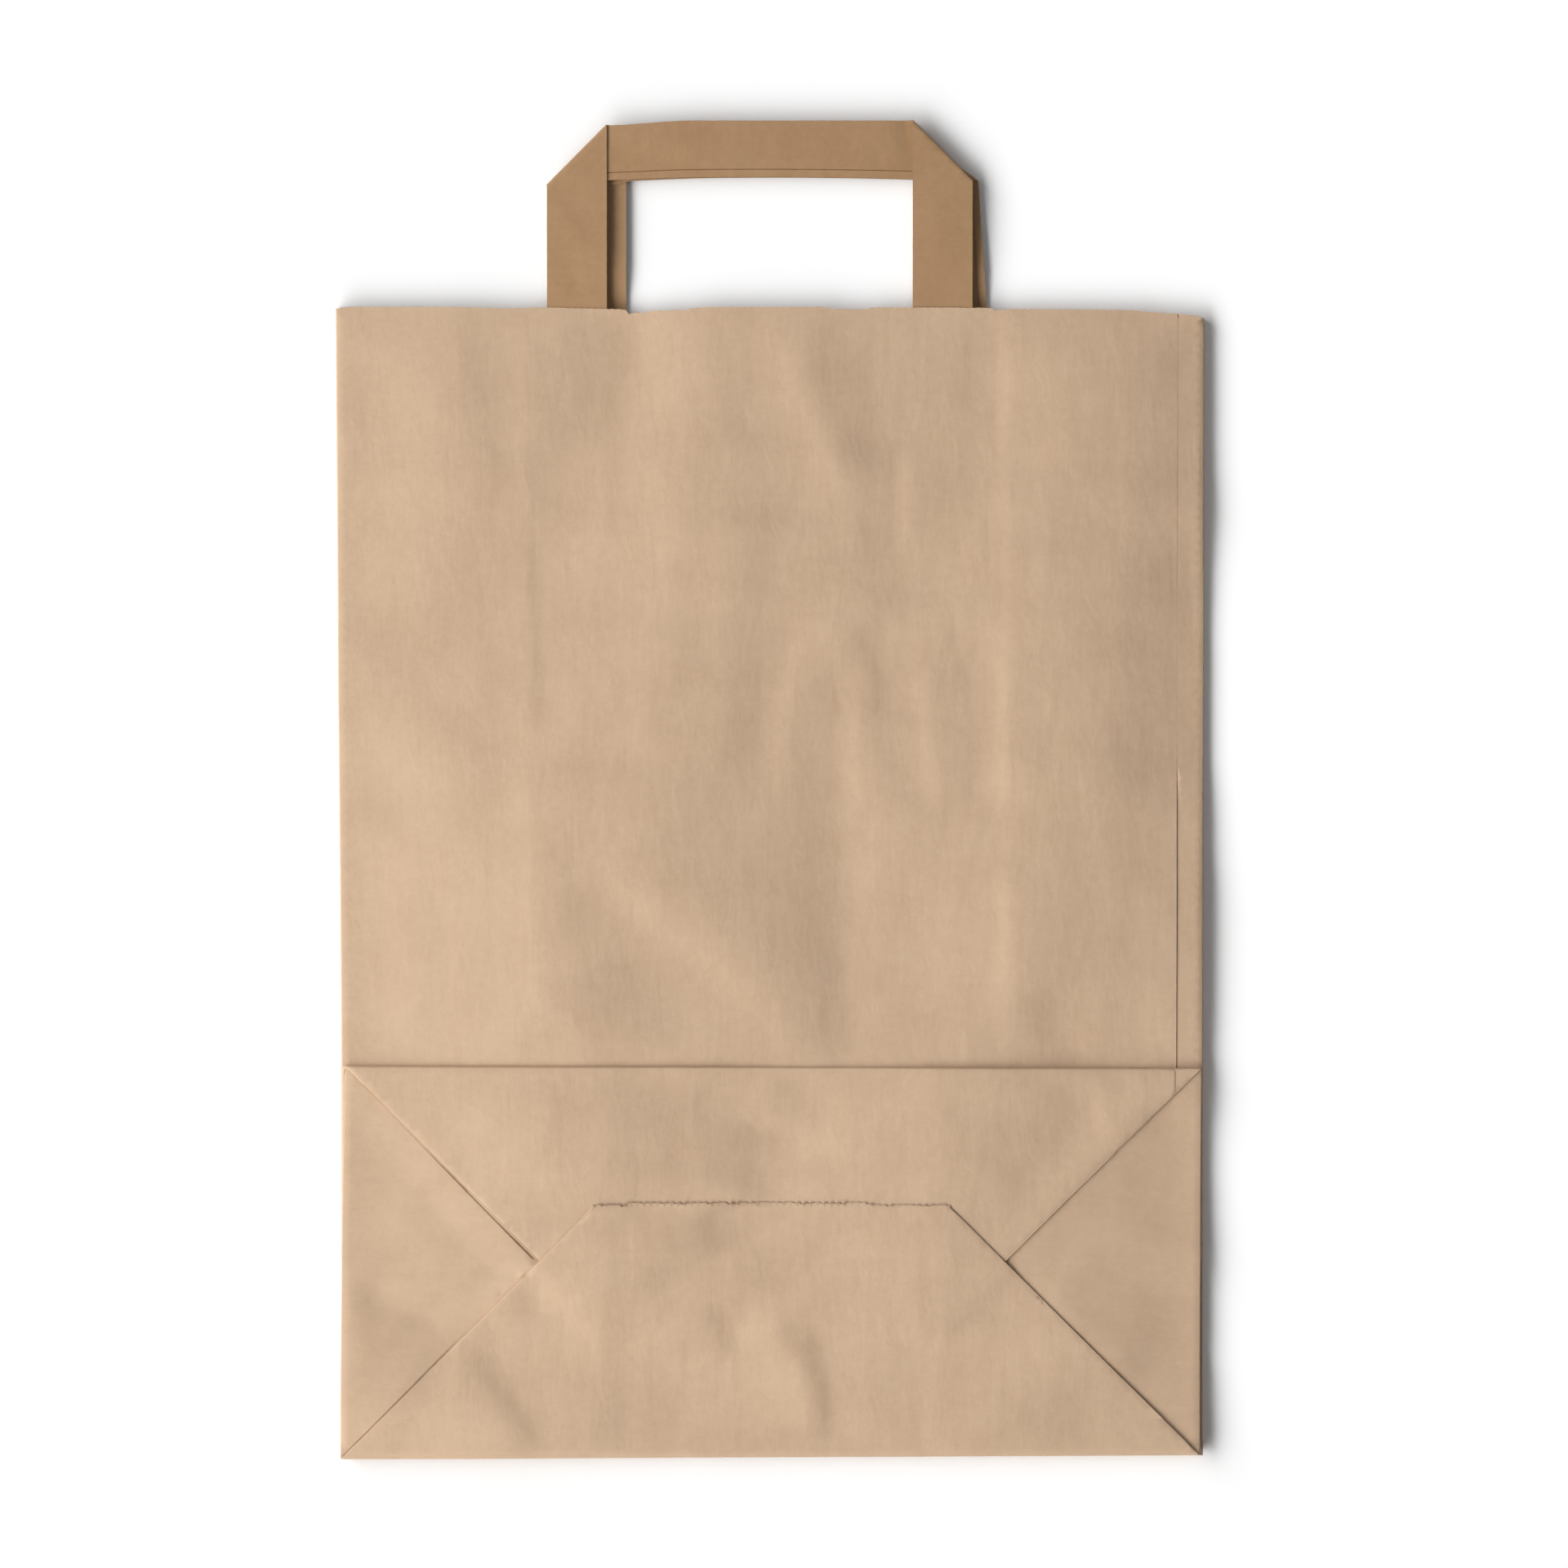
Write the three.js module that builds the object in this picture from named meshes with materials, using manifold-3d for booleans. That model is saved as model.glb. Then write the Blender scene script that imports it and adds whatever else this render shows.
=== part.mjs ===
// A plain kraft paper carrier bag with a block bottom, side gussets and flat paper handles,
// folded flat as it comes in a bundle. All sizes are in millimetres.
//
// The bag lies on its back wall. X runs across the bag, Y from the bottom fold to the handles,
// and Z up through the folded layers. The origin is under the middle of the whole outline.
//
// The bag is one sheet of paper. Each flat region of it is a ply at its own height, and each
// fold is a half-round band that joins the edges of two plies.

import * as THREE from "three";
import { mergeVertices } from "three/addons/utils/BufferGeometryUtils.js";
import Module from "manifold-3d";

const wasm = await Module();
wasm.setup();

// Bag
const BAG_WIDTH = 260;
const GUSSET_DEPTH = 118;
const WALL_HEIGHT = 346;
const FLAP_LENGTH = 77;
const SHEET = 0.15;
const PLY_GAP = 0.08;
const BASE_GLUE = 0.08;

// Lengthwise seam: the raw edge of the front sheet lies on a tab that comes round from the gusset
const SEAM_INSET = 8;
const SEAM_LAP = 15;

// Toothed cut at the mouth and at the ends of the bottom flaps
const TOOTH_PITCH = 2;
const TOOTH_DEPTH = 0.6;

// Handles, set in from the inner folds of the gussets
const HANDLE_CLEARANCE = 7;
const HANDLE_RISE = 56;
const STRIP_WIDTH = 18;
const STRIP_STEP = 3;
const LEG_HIDDEN = 71;
const STRIP_FOLD_GAP = 0.05;
const HANDLE_GAP = 0.15;
const HANDLE_GLUE = 0.05;
const FRONT_HANDLE_SHIFT = -3.3;
const BACK_HANDLE_SHIFT = 2.2;

// Patches glued over the hidden legs, from one gusset nearly to the other
const PATCH_CLEARANCE = 1.5;
const PATCH_HEIGHT = 44;
const PATCH_INSET = 3;

// How the folds and layers of one piece run into each other
const ARC_STEPS = 6;
const GRIP = 0.3;
const BITE = 0.01;
const RELIEF = 0.05;
const CORNER_GAP = 0.4;

// Finish
const BODY_COLOUR = 0xc9a882;
const STRIP_COLOUR = 0xb0875c;

// Heights of the undersides of the plies, from the back wall up
const STRIP = 3 * SHEET;
const handleStack = HANDLE_GLUE + 2 * STRIP + STRIP_FOLD_GAP;
const mouthGap = 2 * handleStack + HANDLE_GAP;
const ply = { backWall: 0 };
ply.frontWall = SHEET + mouthGap;
ply.backGusset = ply.frontWall / 3;
ply.frontGusset = 2 * ply.backGusset;
ply.frontTurnUp = ply.frontWall + SHEET + PLY_GAP;
ply.gussetTurnUp = ply.frontTurnUp + 2 * SHEET + PLY_GAP;
ply.baseCorner = ply.gussetTurnUp + SHEET + PLY_GAP;
ply.sideFlap = ply.baseCorner + SHEET + PLY_GAP;
ply.frontTuck = ply.sideFlap + SHEET + BASE_GLUE;
ply.frontFlap = ply.frontTuck + 2 * SHEET + BASE_GLUE;
ply.backTuck = ply.frontFlap + SHEET + BASE_GLUE;
ply.backFlap = ply.backTuck + SHEET + BASE_GLUE;

// Lines of the folded outline
const halfWidth = BAG_WIDTH / 2;
const halfGusset = GUSSET_DEPTH / 2;
const seamX = halfWidth - SEAM_INSET;
const tabX = seamX - SEAM_LAP;
const tabDrop = SHEET - BITE;
const innerX = halfWidth - halfGusset;
const handleWidth = 2 * (innerX - HANDLE_CLEARANCE);

// Radius of the fold that joins two plies, over its outside
function foldRadius(lower, upper, thickness = SHEET) {
  return (upper + thickness - lower) / 2;
}

const bottomRadius = foldRadius(ply.backWall, ply.backFlap);
const turnRadius = foldRadius(ply.frontGusset, ply.gussetTurnUp);
const topRadius = foldRadius(ply.frontTurnUp, ply.frontFlap);
const sideRadius = foldRadius(ply.backWall, ply.backGusset);
const gussetRadius = foldRadius(ply.backGusset, ply.frontGusset);
const cornerRadius = foldRadius(ply.backGusset, ply.baseCorner);
const upperCornerRadius = foldRadius(ply.gussetTurnUp, ply.baseCorner);
const flapSideRadius = foldRadius(ply.baseCorner, ply.sideFlap);
const frontTuckRadius = foldRadius(ply.frontTuck, ply.frontFlap);
const backTuckRadius = foldRadius(ply.backTuck, ply.backFlap);

function toSolid(geometry) {
  geometry.deleteAttribute("normal");
  geometry.deleteAttribute("uv");
  const merged = mergeVertices(geometry, 1e-5);
  return new wasm.Manifold(new wasm.Mesh({
    numProp: 3,
    vertProperties: new Float32Array(merged.attributes.position.array),
    triVerts: new Uint32Array(merged.index.array),
  }));
}

function joined(solids) {
  return solids.reduce((whole, next) => whole.add(next));
}

function toMesh(name, solid, colour) {
  const { vertProperties, triVerts } = solid.getMesh();
  const geometry = new THREE.BufferGeometry();
  geometry.setAttribute("position", new THREE.BufferAttribute(vertProperties, 3));
  geometry.setIndex(new THREE.BufferAttribute(triVerts, 1));
  geometry.computeVertexNormals();
  const paper = new THREE.MeshStandardMaterial({ color: colour, roughness: 0.85, metalness: 0 });
  const mesh = new THREE.Mesh(geometry, paper);
  mesh.name = name;
  return mesh;
}

// A flat piece of paper with the given outline, from one height to another
function sheet(outline, bottom, top = bottom + SHEET) {
  const shape = new THREE.Shape(outline.map(([x, y]) => new THREE.Vector2(x, y)));
  const geometry = new THREE.ExtrudeGeometry(shape, { depth: 1, bevelEnabled: false });
  const position = geometry.attributes.position;
  for (let i = 0; i < position.count; i += 1) {
    position.setZ(i, position.getZ(i) > 0.5 ? top : bottom);
  }
  return toSolid(geometry);
}

// A folded edge: a half-round band along the line between two ends, which joins the layer at
// the lower height to the one at the upper height. The paper lies on the inward side, and the
// round starts at the setback from the line, so that nested folds can share one centre line.
// The band is a hair thinner than the paper, grips the inside of both layers, and stops short
// of the corners, where the creases of the paper meet.
function foldBand({ ends, inward, lower, upper, thickness = SHEET, setback }) {
  const radius = foldRadius(lower, upper, thickness);
  const middle = lower + radius;
  const centre = setback ?? radius;
  const outer = radius - BITE;
  const inner = radius - thickness + BITE;
  const arc = (r, turn) => {
    const angle = turn * Math.PI / ARC_STEPS;
    return new THREE.Vector2(centre - r * Math.sin(angle), middle + r * Math.cos(angle));
  };
  const steps = Array.from({ length: ARC_STEPS + 1 }, (_, i) => i);
  const section = new THREE.Shape([
    new THREE.Vector2(centre + GRIP, middle + outer),
    ...steps.map((i) => arc(outer, i)),
    new THREE.Vector2(centre + GRIP, middle - outer),
    new THREE.Vector2(centre + GRIP, middle - inner),
    ...steps.map((i) => arc(inner, ARC_STEPS - i)),
    new THREE.Vector2(centre + GRIP, middle + inner),
  ]);
  const across = new THREE.Vector3(inward[0], inward[1], 0).normalize();
  const along = new THREE.Vector3().crossVectors(across, new THREE.Vector3(0, 0, 1));
  const [start, end] = ends.map(([x, y]) => new THREE.Vector3(x, y, 0));
  const span = end.clone().sub(start);
  const origin = span.dot(along) > 0 ? start : end;
  const depth = span.length() - 2 * CORNER_GAP;
  const geometry = new THREE.ExtrudeGeometry(section, { depth, bevelEnabled: false });
  const place = new THREE.Matrix4().makeBasis(across, new THREE.Vector3(0, 0, 1), along);
  geometry.applyMatrix4(place.setPosition(origin.clone().addScaledVector(along, CORNER_GAP)));
  return toSolid(geometry);
}

// A toothed cut from one X to another, with the tips of the teeth on the given Y. The teeth of
// all layers line up, because one knife cuts the flat tube.
function toothedCut(fromX, toX, tipY, towardsPaper) {
  const half = TOOTH_PITCH / 2;
  const low = Math.min(fromX, toX);
  const high = Math.max(fromX, toX);
  const points = [[low, tipY]];
  for (let k = Math.ceil(low / half + 0.5); k * half < high - half / 2; k += 1) {
    const inPaper = k % 2 === 0 ? 0 : TOOTH_DEPTH;
    points.push([k * half, tipY + towardsPaper * inPaper]);
  }
  points.push([high, tipY]);
  return fromX < toX ? points : points.reverse();
}

// The two walls, and the flaps that carry on from them across the bottom
function walls() {
  const left = -halfWidth;
  const frontSideRadius = foldRadius(ply.frontGusset, ply.frontWall);
  const tabSideRadius = foldRadius(ply.frontGusset, ply.frontWall - tabDrop);
  const turnY = halfGusset + turnRadius;
  const topY = GUSSET_DEPTH - topRadius;
  const diagonal = Math.SQRT2;

  const parts = [];
  parts.push(sheet([
    [left + sideRadius, bottomRadius],
    [halfWidth - sideRadius, bottomRadius],
    ...toothedCut(halfWidth - sideRadius, left + sideRadius, WALL_HEIGHT, -1),
  ], ply.backWall));
  const backFlapEdge = (y) => halfWidth - y - diagonal * backTuckRadius;
  parts.push(sheet([
    [-backFlapEdge(bottomRadius), bottomRadius],
    [backFlapEdge(bottomRadius), bottomRadius],
    ...toothedCut(backFlapEdge(FLAP_LENGTH), -backFlapEdge(FLAP_LENGTH), FLAP_LENGTH, -1),
  ], ply.backFlap));
  parts.push(foldBand({
    ends: [[left + sideRadius, 0], [halfWidth - sideRadius, 0]],
    inward: [0, 1],
    lower: ply.backWall,
    upper: ply.backFlap,
  }));

  // The front sheet stops at the raw edge of the seam, and the tab carries on behind it, cut
  // a hair shorter at both ends.
  const spans = [
    { from: left, to: seamX, behind: 0, short: 0, wallInset: frontSideRadius },
    { from: tabX, to: halfWidth, behind: tabDrop, short: RELIEF, wallInset: tabSideRadius },
  ];
  for (const { from, to, behind, short, wallInset } of spans) {
    const start = (inset) => (from === left ? left + inset : from);
    const finish = (inset) => (to === halfWidth ? halfWidth - inset : to);
    const turnInset = foldRadius(ply.frontTurnUp + behind, ply.gussetTurnUp);
    parts.push(sheet([
      [start(wallInset), turnY + short],
      [finish(wallInset), turnY + short],
      ...toothedCut(finish(wallInset), start(wallInset), WALL_HEIGHT - short, -1),
    ], ply.frontWall - behind));
    parts.push(sheet([
      [start(turnInset), turnY + short],
      [finish(turnInset), turnY + short],
      [finish(turnInset), topY - short],
      [start(turnInset), topY - short],
    ], ply.frontTurnUp + behind));
    parts.push(foldBand({
      ends: [[start(wallInset), halfGusset], [finish(wallInset), halfGusset]],
      inward: [0, 1],
      lower: ply.frontWall - behind,
      upper: ply.frontTurnUp + behind,
      setback: turnRadius,
    }));
    parts.push(foldBand({
      ends: [[start(topRadius), GUSSET_DEPTH], [finish(topRadius), GUSSET_DEPTH]],
      inward: [0, -1],
      lower: ply.frontTurnUp + behind,
      upper: ply.frontFlap - behind,
      setback: topRadius,
    }));
  }

  // The front flap is cut to the same two spans as the walls.
  for (const { from, to, behind, short } of spans) {
    const freeY = GUSSET_DEPTH - FLAP_LENGTH + short;
    const edge = (y) => halfWidth - (GUSSET_DEPTH - y) - diagonal * (frontTuckRadius + short);
    const outline = [
      [edge(topY - short), topY - short],
      [-edge(topY - short), topY - short],
      ...toothedCut(-edge(freeY), edge(freeY), freeY, 1),
    ];
    const slab = new THREE.BoxGeometry(to - from, BAG_WIDTH + GUSSET_DEPTH, BAG_WIDTH);
    const cut = toSolid(slab.translate((from + to) / 2, 0, 0));
    parts.push(sheet(outline, ply.frontFlap - behind).intersect(cut));
  }
  return parts;
}

// One gusset with its side flap and corner tucks: side is -1 on the left and 1 on the right.
// u is the distance in from the side edge of the bag.
function gusset(side) {
  const at = (u, y) => [side * (halfWidth - u), y];
  const towards = (u, y) => [-side * u, y];
  const seamSide = side > 0;
  const frontWall = ply.frontWall - (seamSide ? tabDrop : 0);
  const frontTurnUp = ply.frontTurnUp + (seamSide ? tabDrop : 0);
  const frontSideRadius = foldRadius(ply.frontGusset, frontWall);
  const turnSideRadius = foldRadius(frontTurnUp, ply.gussetTurnUp);
  const slant = Math.SQRT2;
  const turnY = halfGusset + turnRadius;
  const topY = GUSSET_DEPTH - topRadius;
  const inner = halfGusset - gussetRadius;
  const mouthCut = (fromU, toU) => {
    const [fromX] = at(fromU, 0);
    const [toX] = at(toU, 0);
    return toothedCut(fromX, toX, WALL_HEIGHT, -1);
  };

  const backStart = sideRadius + slant * cornerRadius;
  const innerStart = Math.max(turnY, inner + slant * cornerRadius);
  const frontTuckStart = topRadius + slant * frontTuckRadius;
  const backTuckStart = bottomRadius + slant * backTuckRadius;
  const turnEnd = GUSSET_DEPTH - turnY - slant * upperCornerRadius;
  const lowerTip = halfGusset - cornerRadius;
  const upperTip = turnEnd - GRIP;
  const cornerTip = (GUSSET_DEPTH + slant * (cornerRadius - upperCornerRadius)) / 2;
  const band = (from, to, inward, lower, upper, setback) => foldBand({
    ends: [at(...from), at(...to)],
    inward: towards(...inward),
    lower,
    upper,
    setback,
  });

  const parts = [
    // Back half of the gusset, down to the corner of the bottom
    sheet([
      at(sideRadius, backStart),
      ...mouthCut(sideRadius, inner),
      at(inner, inner + slant * cornerRadius),
    ], ply.backGusset),
    // Front half of the gusset, and the part of it that turns up with the front wall
    sheet([
      at(frontSideRadius, turnY),
      ...mouthCut(frontSideRadius, inner),
      at(inner, turnY),
    ], ply.frontGusset),
    sheet([
      at(turnSideRadius, turnY),
      at(turnEnd, turnY),
      at(turnSideRadius, GUSSET_DEPTH - turnSideRadius - slant * upperCornerRadius),
    ], ply.gussetTurnUp),
    // Triangle under the side of the bottom
    sheet([
      at(flapSideRadius, flapSideRadius + slant * cornerRadius),
      at(cornerTip - slant * cornerRadius, cornerTip),
      at(flapSideRadius, GUSSET_DEPTH - flapSideRadius - slant * upperCornerRadius),
    ], ply.baseCorner),
    // Side flap, and the two tucks that join it to the front and back flaps
    sheet([
      at(flapSideRadius, bottomRadius),
      at(FLAP_LENGTH, bottomRadius),
      at(FLAP_LENGTH, topY),
      at(flapSideRadius, topY),
    ], ply.sideFlap),
    sheet([
      at(frontTuckStart, topY),
      at(FLAP_LENGTH, topY),
      at(FLAP_LENGTH, GUSSET_DEPTH - FLAP_LENGTH + slant * frontTuckRadius),
    ], ply.frontTuck),
    sheet([
      at(backTuckStart, bottomRadius),
      at(FLAP_LENGTH, bottomRadius),
      at(FLAP_LENGTH, FLAP_LENGTH - slant * backTuckRadius),
    ], ply.backTuck),

    // Folds along the side edge of the bag
    band([0, backStart], [0, WALL_HEIGHT - TOOTH_DEPTH], [1, 0], ply.backWall, ply.backGusset),
    band([0, turnY], [0, WALL_HEIGHT - TOOTH_DEPTH], [1, 0], ply.frontGusset, frontWall),
    band([0, turnY], [0, topY], [1, 0], frontTurnUp, ply.gussetTurnUp),
    band([0, bottomRadius], [0, topY], [1, 0], ply.baseCorner, ply.sideFlap),
    // Inner fold of the gusset
    band([halfGusset, innerStart], [halfGusset, WALL_HEIGHT - TOOTH_DEPTH], [-1, 0],
      ply.backGusset, ply.frontGusset),
    // Where the gusset turns up with the front wall
    band([frontSideRadius, halfGusset], [turnEnd, halfGusset], [0, 1],
      ply.frontGusset, ply.gussetTurnUp),
    // Slanting folds of the triangle
    band([backStart, backStart], [lowerTip, lowerTip], [-1, 1],
      ply.backGusset, ply.baseCorner),
    band([frontTuckStart, GUSSET_DEPTH - frontTuckStart], [upperTip, GUSSET_DEPTH - upperTip],
      [-1, -1], ply.gussetTurnUp, ply.baseCorner),
    // Folds between the side flap and its tucks, inside the long folds of the bottom
    band([frontTuckStart, GUSSET_DEPTH], [FLAP_LENGTH, GUSSET_DEPTH], [0, -1],
      ply.sideFlap, ply.frontTuck, topRadius),
    band([backTuckStart, 0], [FLAP_LENGTH, 0], [0, 1],
      ply.sideFlap, ply.backTuck, bottomRadius),
    // Slanting edge of the back flap
    band([backTuckStart + CORNER_GAP, backTuckStart + CORNER_GAP], [FLAP_LENGTH, FLAP_LENGTH],
      [1, -1], ply.backTuck, ply.backFlap),
  ];

  // Slanting edge of the front flap: on the seam's side the tab makes its outer end.
  const slantBand = (fromU, toU, upper) => band([fromU, GUSSET_DEPTH - fromU],
    [toU, GUSSET_DEPTH - toU], [1, 1], ply.frontTuck, upper, frontTuckRadius);
  const outerStart = frontTuckStart + CORNER_GAP;
  parts.push(slantBand(seamSide ? SEAM_INSET : outerStart, FLAP_LENGTH, ply.frontFlap));
  if (seamSide) {
    parts.push(slantBand(outerStart, SEAM_INSET, ply.frontFlap - tabDrop));
  }
  return parts;
}

// A flat handle: one strip of three plies, turned over at 45 degrees at both shoulders. Its
// legs lie just under the front wall, and its crossbar under them. The third ply of the strip
// ends short of one edge, which is the outer edge of the legs and the lower edge of the bar.
function handleStrip() {
  const legBottom = ply.frontWall - HANDLE_GLUE - STRIP;
  const barBottom = legBottom - STRIP_FOLD_GAP - STRIP;
  const shoulder = HANDLE_RISE - STRIP_WIDTH;
  const setback = foldRadius(barBottom, legBottom, STRIP);
  const parts = [];
  const layers = [
    { step: 0, short: 0, legFrom: SHEET, legTo: STRIP, barFrom: 0, barTo: 2 * SHEET },
    { step: STRIP_STEP, short: RELIEF, legFrom: 0, legTo: SHEET + BITE, barFrom: 2 * SHEET - BITE,
      barTo: STRIP },
  ];
  for (const { step, short, legFrom, legTo, barFrom, barTo } of layers) {
    const slant = Math.SQRT2 * (setback + short);
    const barEnd = handleWidth / 2 - slant;
    parts.push(sheet([
      [-barEnd + step, shoulder + step],
      [barEnd - step, shoulder + step],
      [barEnd - STRIP_WIDTH + short, HANDLE_RISE - short],
      [-barEnd + STRIP_WIDTH - short, HANDLE_RISE - short],
    ], barBottom + barFrom, barBottom + barTo));
    for (const side of [-1, 1]) {
      const at = (v, y) => [side * (handleWidth / 2 - v), y];
      parts.push(sheet([
        at(step, -LEG_HIDDEN + short),
        at(STRIP_WIDTH - short, -LEG_HIDDEN + short),
        at(STRIP_WIDTH - short, HANDLE_RISE - short - slant),
        at(step, shoulder + step - slant),
      ], legBottom + legFrom, legBottom + legTo));
    }
  }
  for (const side of [-1, 1]) {
    const outer = side * handleWidth / 2;
    parts.push(foldBand({
      ends: [[outer, shoulder], [outer - side * STRIP_WIDTH, HANDLE_RISE]],
      inward: [-side, -1],
      lower: barBottom,
      upper: legBottom,
      thickness: STRIP,
    }));
  }
  return joined(parts);
}

// The patch lies under the legs, on the side away from the wall.
function handlePatch() {
  const top = ply.frontWall - HANDLE_GLUE - STRIP - STRIP_FOLD_GAP;
  const half = innerX - PATCH_CLEARANCE;
  return sheet([
    [-half, -PATCH_INSET - PATCH_HEIGHT],
    [half, -PATCH_INSET - PATCH_HEIGHT],
    [half, -PATCH_INSET],
    [-half, -PATCH_INSET],
  ], top - SHEET, top);
}

const bag = new THREE.Group();
bag.position.y = -(WALL_HEIGHT + HANDLE_RISE) / 2;
bag.add(toMesh("bag_body", joined([...walls(), ...gusset(-1), ...gusset(1)]), BODY_COLOUR));

// The back handle and its patch are the front ones turned over.
const sides = [
  { name: "front", shift: FRONT_HANDLE_SHIFT, height: 0, turn: 0 },
  { name: "back", shift: BACK_HANDLE_SHIFT, height: ply.frontWall + SHEET, turn: Math.PI },
];
for (const { name, shift, height, turn } of sides) {
  const handle = toMesh(`${name}_handle`, handleStrip(), STRIP_COLOUR);
  const patch = toMesh(`${name}_handle_patch`, handlePatch(), BODY_COLOUR);
  handle.position.set(shift, WALL_HEIGHT, height);
  patch.position.set(0, WALL_HEIGHT, height);
  for (const piece of [handle, patch]) {
    piece.rotation.y = turn;
    bag.add(piece);
  }
}

export default bag;
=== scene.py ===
# A kraft paper carrier bag, folded flat, seen from straight above.
#
# The bag is made from its blank: the flat sheet is meshed with its fold lines in it, folded
# ply by ply, creased and crumpled a little, and given the thickness of the paper. Lengths are
# in millimetres until a mesh is made. On the bag, x runs across it from its middle, y up from
# its bottom fold, and z up from the surface that it lies on. On the blank, s runs across it
# from the raw edge of the front, and v up it from the line where the back wall turns under.

import math
from dataclasses import dataclass

import bpy
import numpy as np
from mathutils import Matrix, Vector
from mathutils.geometry import delaunay_2d_cdt


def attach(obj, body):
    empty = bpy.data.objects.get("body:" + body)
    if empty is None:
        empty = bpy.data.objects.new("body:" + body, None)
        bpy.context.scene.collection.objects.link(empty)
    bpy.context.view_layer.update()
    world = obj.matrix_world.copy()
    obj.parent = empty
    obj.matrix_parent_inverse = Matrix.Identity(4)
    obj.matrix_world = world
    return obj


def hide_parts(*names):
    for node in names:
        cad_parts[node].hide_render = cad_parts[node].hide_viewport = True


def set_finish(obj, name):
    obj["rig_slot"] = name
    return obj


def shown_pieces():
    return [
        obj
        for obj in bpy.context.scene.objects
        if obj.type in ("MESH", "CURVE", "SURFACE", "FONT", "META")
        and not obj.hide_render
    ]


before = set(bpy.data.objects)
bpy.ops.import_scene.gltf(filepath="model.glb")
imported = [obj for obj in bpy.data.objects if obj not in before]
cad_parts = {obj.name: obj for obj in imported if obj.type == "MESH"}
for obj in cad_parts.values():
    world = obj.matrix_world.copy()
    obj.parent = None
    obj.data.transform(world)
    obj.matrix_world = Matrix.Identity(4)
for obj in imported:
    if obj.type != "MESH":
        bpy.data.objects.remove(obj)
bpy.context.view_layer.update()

MM = 0.001

# A distance past any on the bag, and numbers that only keep a division from failing
FAR = 1e9
LEAST_BEND = 1e-7
LEAST_AREA = 1e-12

# The bag, as folded
BAG_WIDTH = 260
GUSSET_DEPTH = 118
WALL_HEIGHT = 346
FLAP_LENGTH = 77
SHEET = 0.15
SEAM_INSET = 8
SEAM_LAP = 15
TAB_GAP = 0.02

# The handles, and the narrow groove beside the step of their inner plies
HANDLE_WIDTH = 128
HANDLE_RISE = 56
STRIP_WIDTH = 18
STRIP_STEP = 2.3
STRIP = 3 * SHEET
GROOVE_WIDTH = 0.25
GROOVE_DEPTH = 0.3
GROOVE_WALL = 0.03
GROOVE_TRIM = 0.2
LEG_HIDDEN = 71
FRONT_HANDLE_SHIFT = -3.6
BACK_HANDLE_SHIFT = 2.2

# How far the handles stand off the surface that the bag lies on, and for each millimetre of
# that, how far up from the mouth they rise to it
FRONT_SPRING = 2.2
BACK_SPRING = 1.2
SPRING_SPREAD = 10

# How the handles' bars bow at their inner edge, and how far from the middle
BAR_BOW = 1.1
BOW_REACH = 58

# How the left shoulders drop at their inner edge, and how much more at the outer one
SHOULDER_DROP = 0.3
SHOULDER_EDGE_DROP = 1.1
SHOULDER_RANGE = (20, 46)
SHOULDER_CORNER = (44, 50)
BEND_RANGE = (0, 30)

# How the front handle's bar dips into its right shoulder
BAR_DIP = 0.45
BAR_DIP_START = 43
BAR_DIP_SLANT = 6
BAR_DIP_LENGTH = 9
BAR_LEVELS = (0.25, 0.6)
BAR_RANGE = (30, 38)

# How the back handle leans to the left: along its bar, up its right leg, and at its shoulder
LEAN_START = 46
LEAN_LENGTH = 110
FOOT_LEAN = 1.5
LEG_LEAN = 2.5
LEG_LEAN_HEIGHT = 38
SHOULDER_LEAN = 2.4
LEAN_CORNER = ((37, 45), (20, 40))
BACK_DROP = 0.15
BACK_DROP_RANGE = (10, 38)

# The patches over the hidden legs
PATCH_WIDTH = 139
PATCH_HEIGHT = 44
PATCH_INSET = 3

# Heights of the undersides of the layers, from the back wall up
LIFT = {
    "back_wall": 0.0,
    "back_gusset": 0.767,
    "front_gusset": 1.533,
    "tab_wall": 2.3 - SHEET - TAB_GAP,
    "front_wall": 2.3,
    "front_turn_up": 2.53,
    "tab_turn_up": 2.53 + SHEET + TAB_GAP,
    "gusset_turn_up": 2.91,
    "base_corner": 3.14,
    "side_flap": 3.37,
    "front_tuck": 3.6,
    "tab_tuck": 3.6 + SHEET + TAB_GAP,
    "tab_flap": 3.98 - SHEET - TAB_GAP,
    "front_flap": 3.98,
    "back_tuck": 4.21,
    "back_flap": 4.44,
    "handle_bar": 1.3,
    "handle_leg": 1.8,
    "handle_patch": 1.6,
}
FRONT_TOP = LIFT["front_wall"] + SHEET

# How much looser than pressed flat the layers of the walls and of the turned-up bottom lie
WALL_LOFT = 1.5
BLOCK_LOFT = 0.95

# How far the front wall stands up between the bag's edges, how much of that is left low on
# the bag, and how far in from the edges it is full
PUFF = 1.3
LOW_PUFF = 0.4
PUFF_RANGE = (60, 150)
PUFF_EDGE = 70

# How far down behind the turned-up bottom the wall keeps its own creases, and how much higher
# than the bottom's fold it may stand, there and for each millimetre above it
BEHIND_BLOCK = 8
OVER_FOLD = 0.4
OVER_FOLD_SLOPE = 0.12

# The heights between which the layers go from the wall's sides to the turned-up bottom's
TURNED_UP = (2.4, 3.4)

# How the bottom fold runs askew, and how the turned-up bottom's fold sags
BOTTOM_SKEW = 0.6
SKEW_REACH = 60
FOLD_SAG = 0.75
SAG_SKEW = 0.35
SAG_REACH = 30

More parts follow.
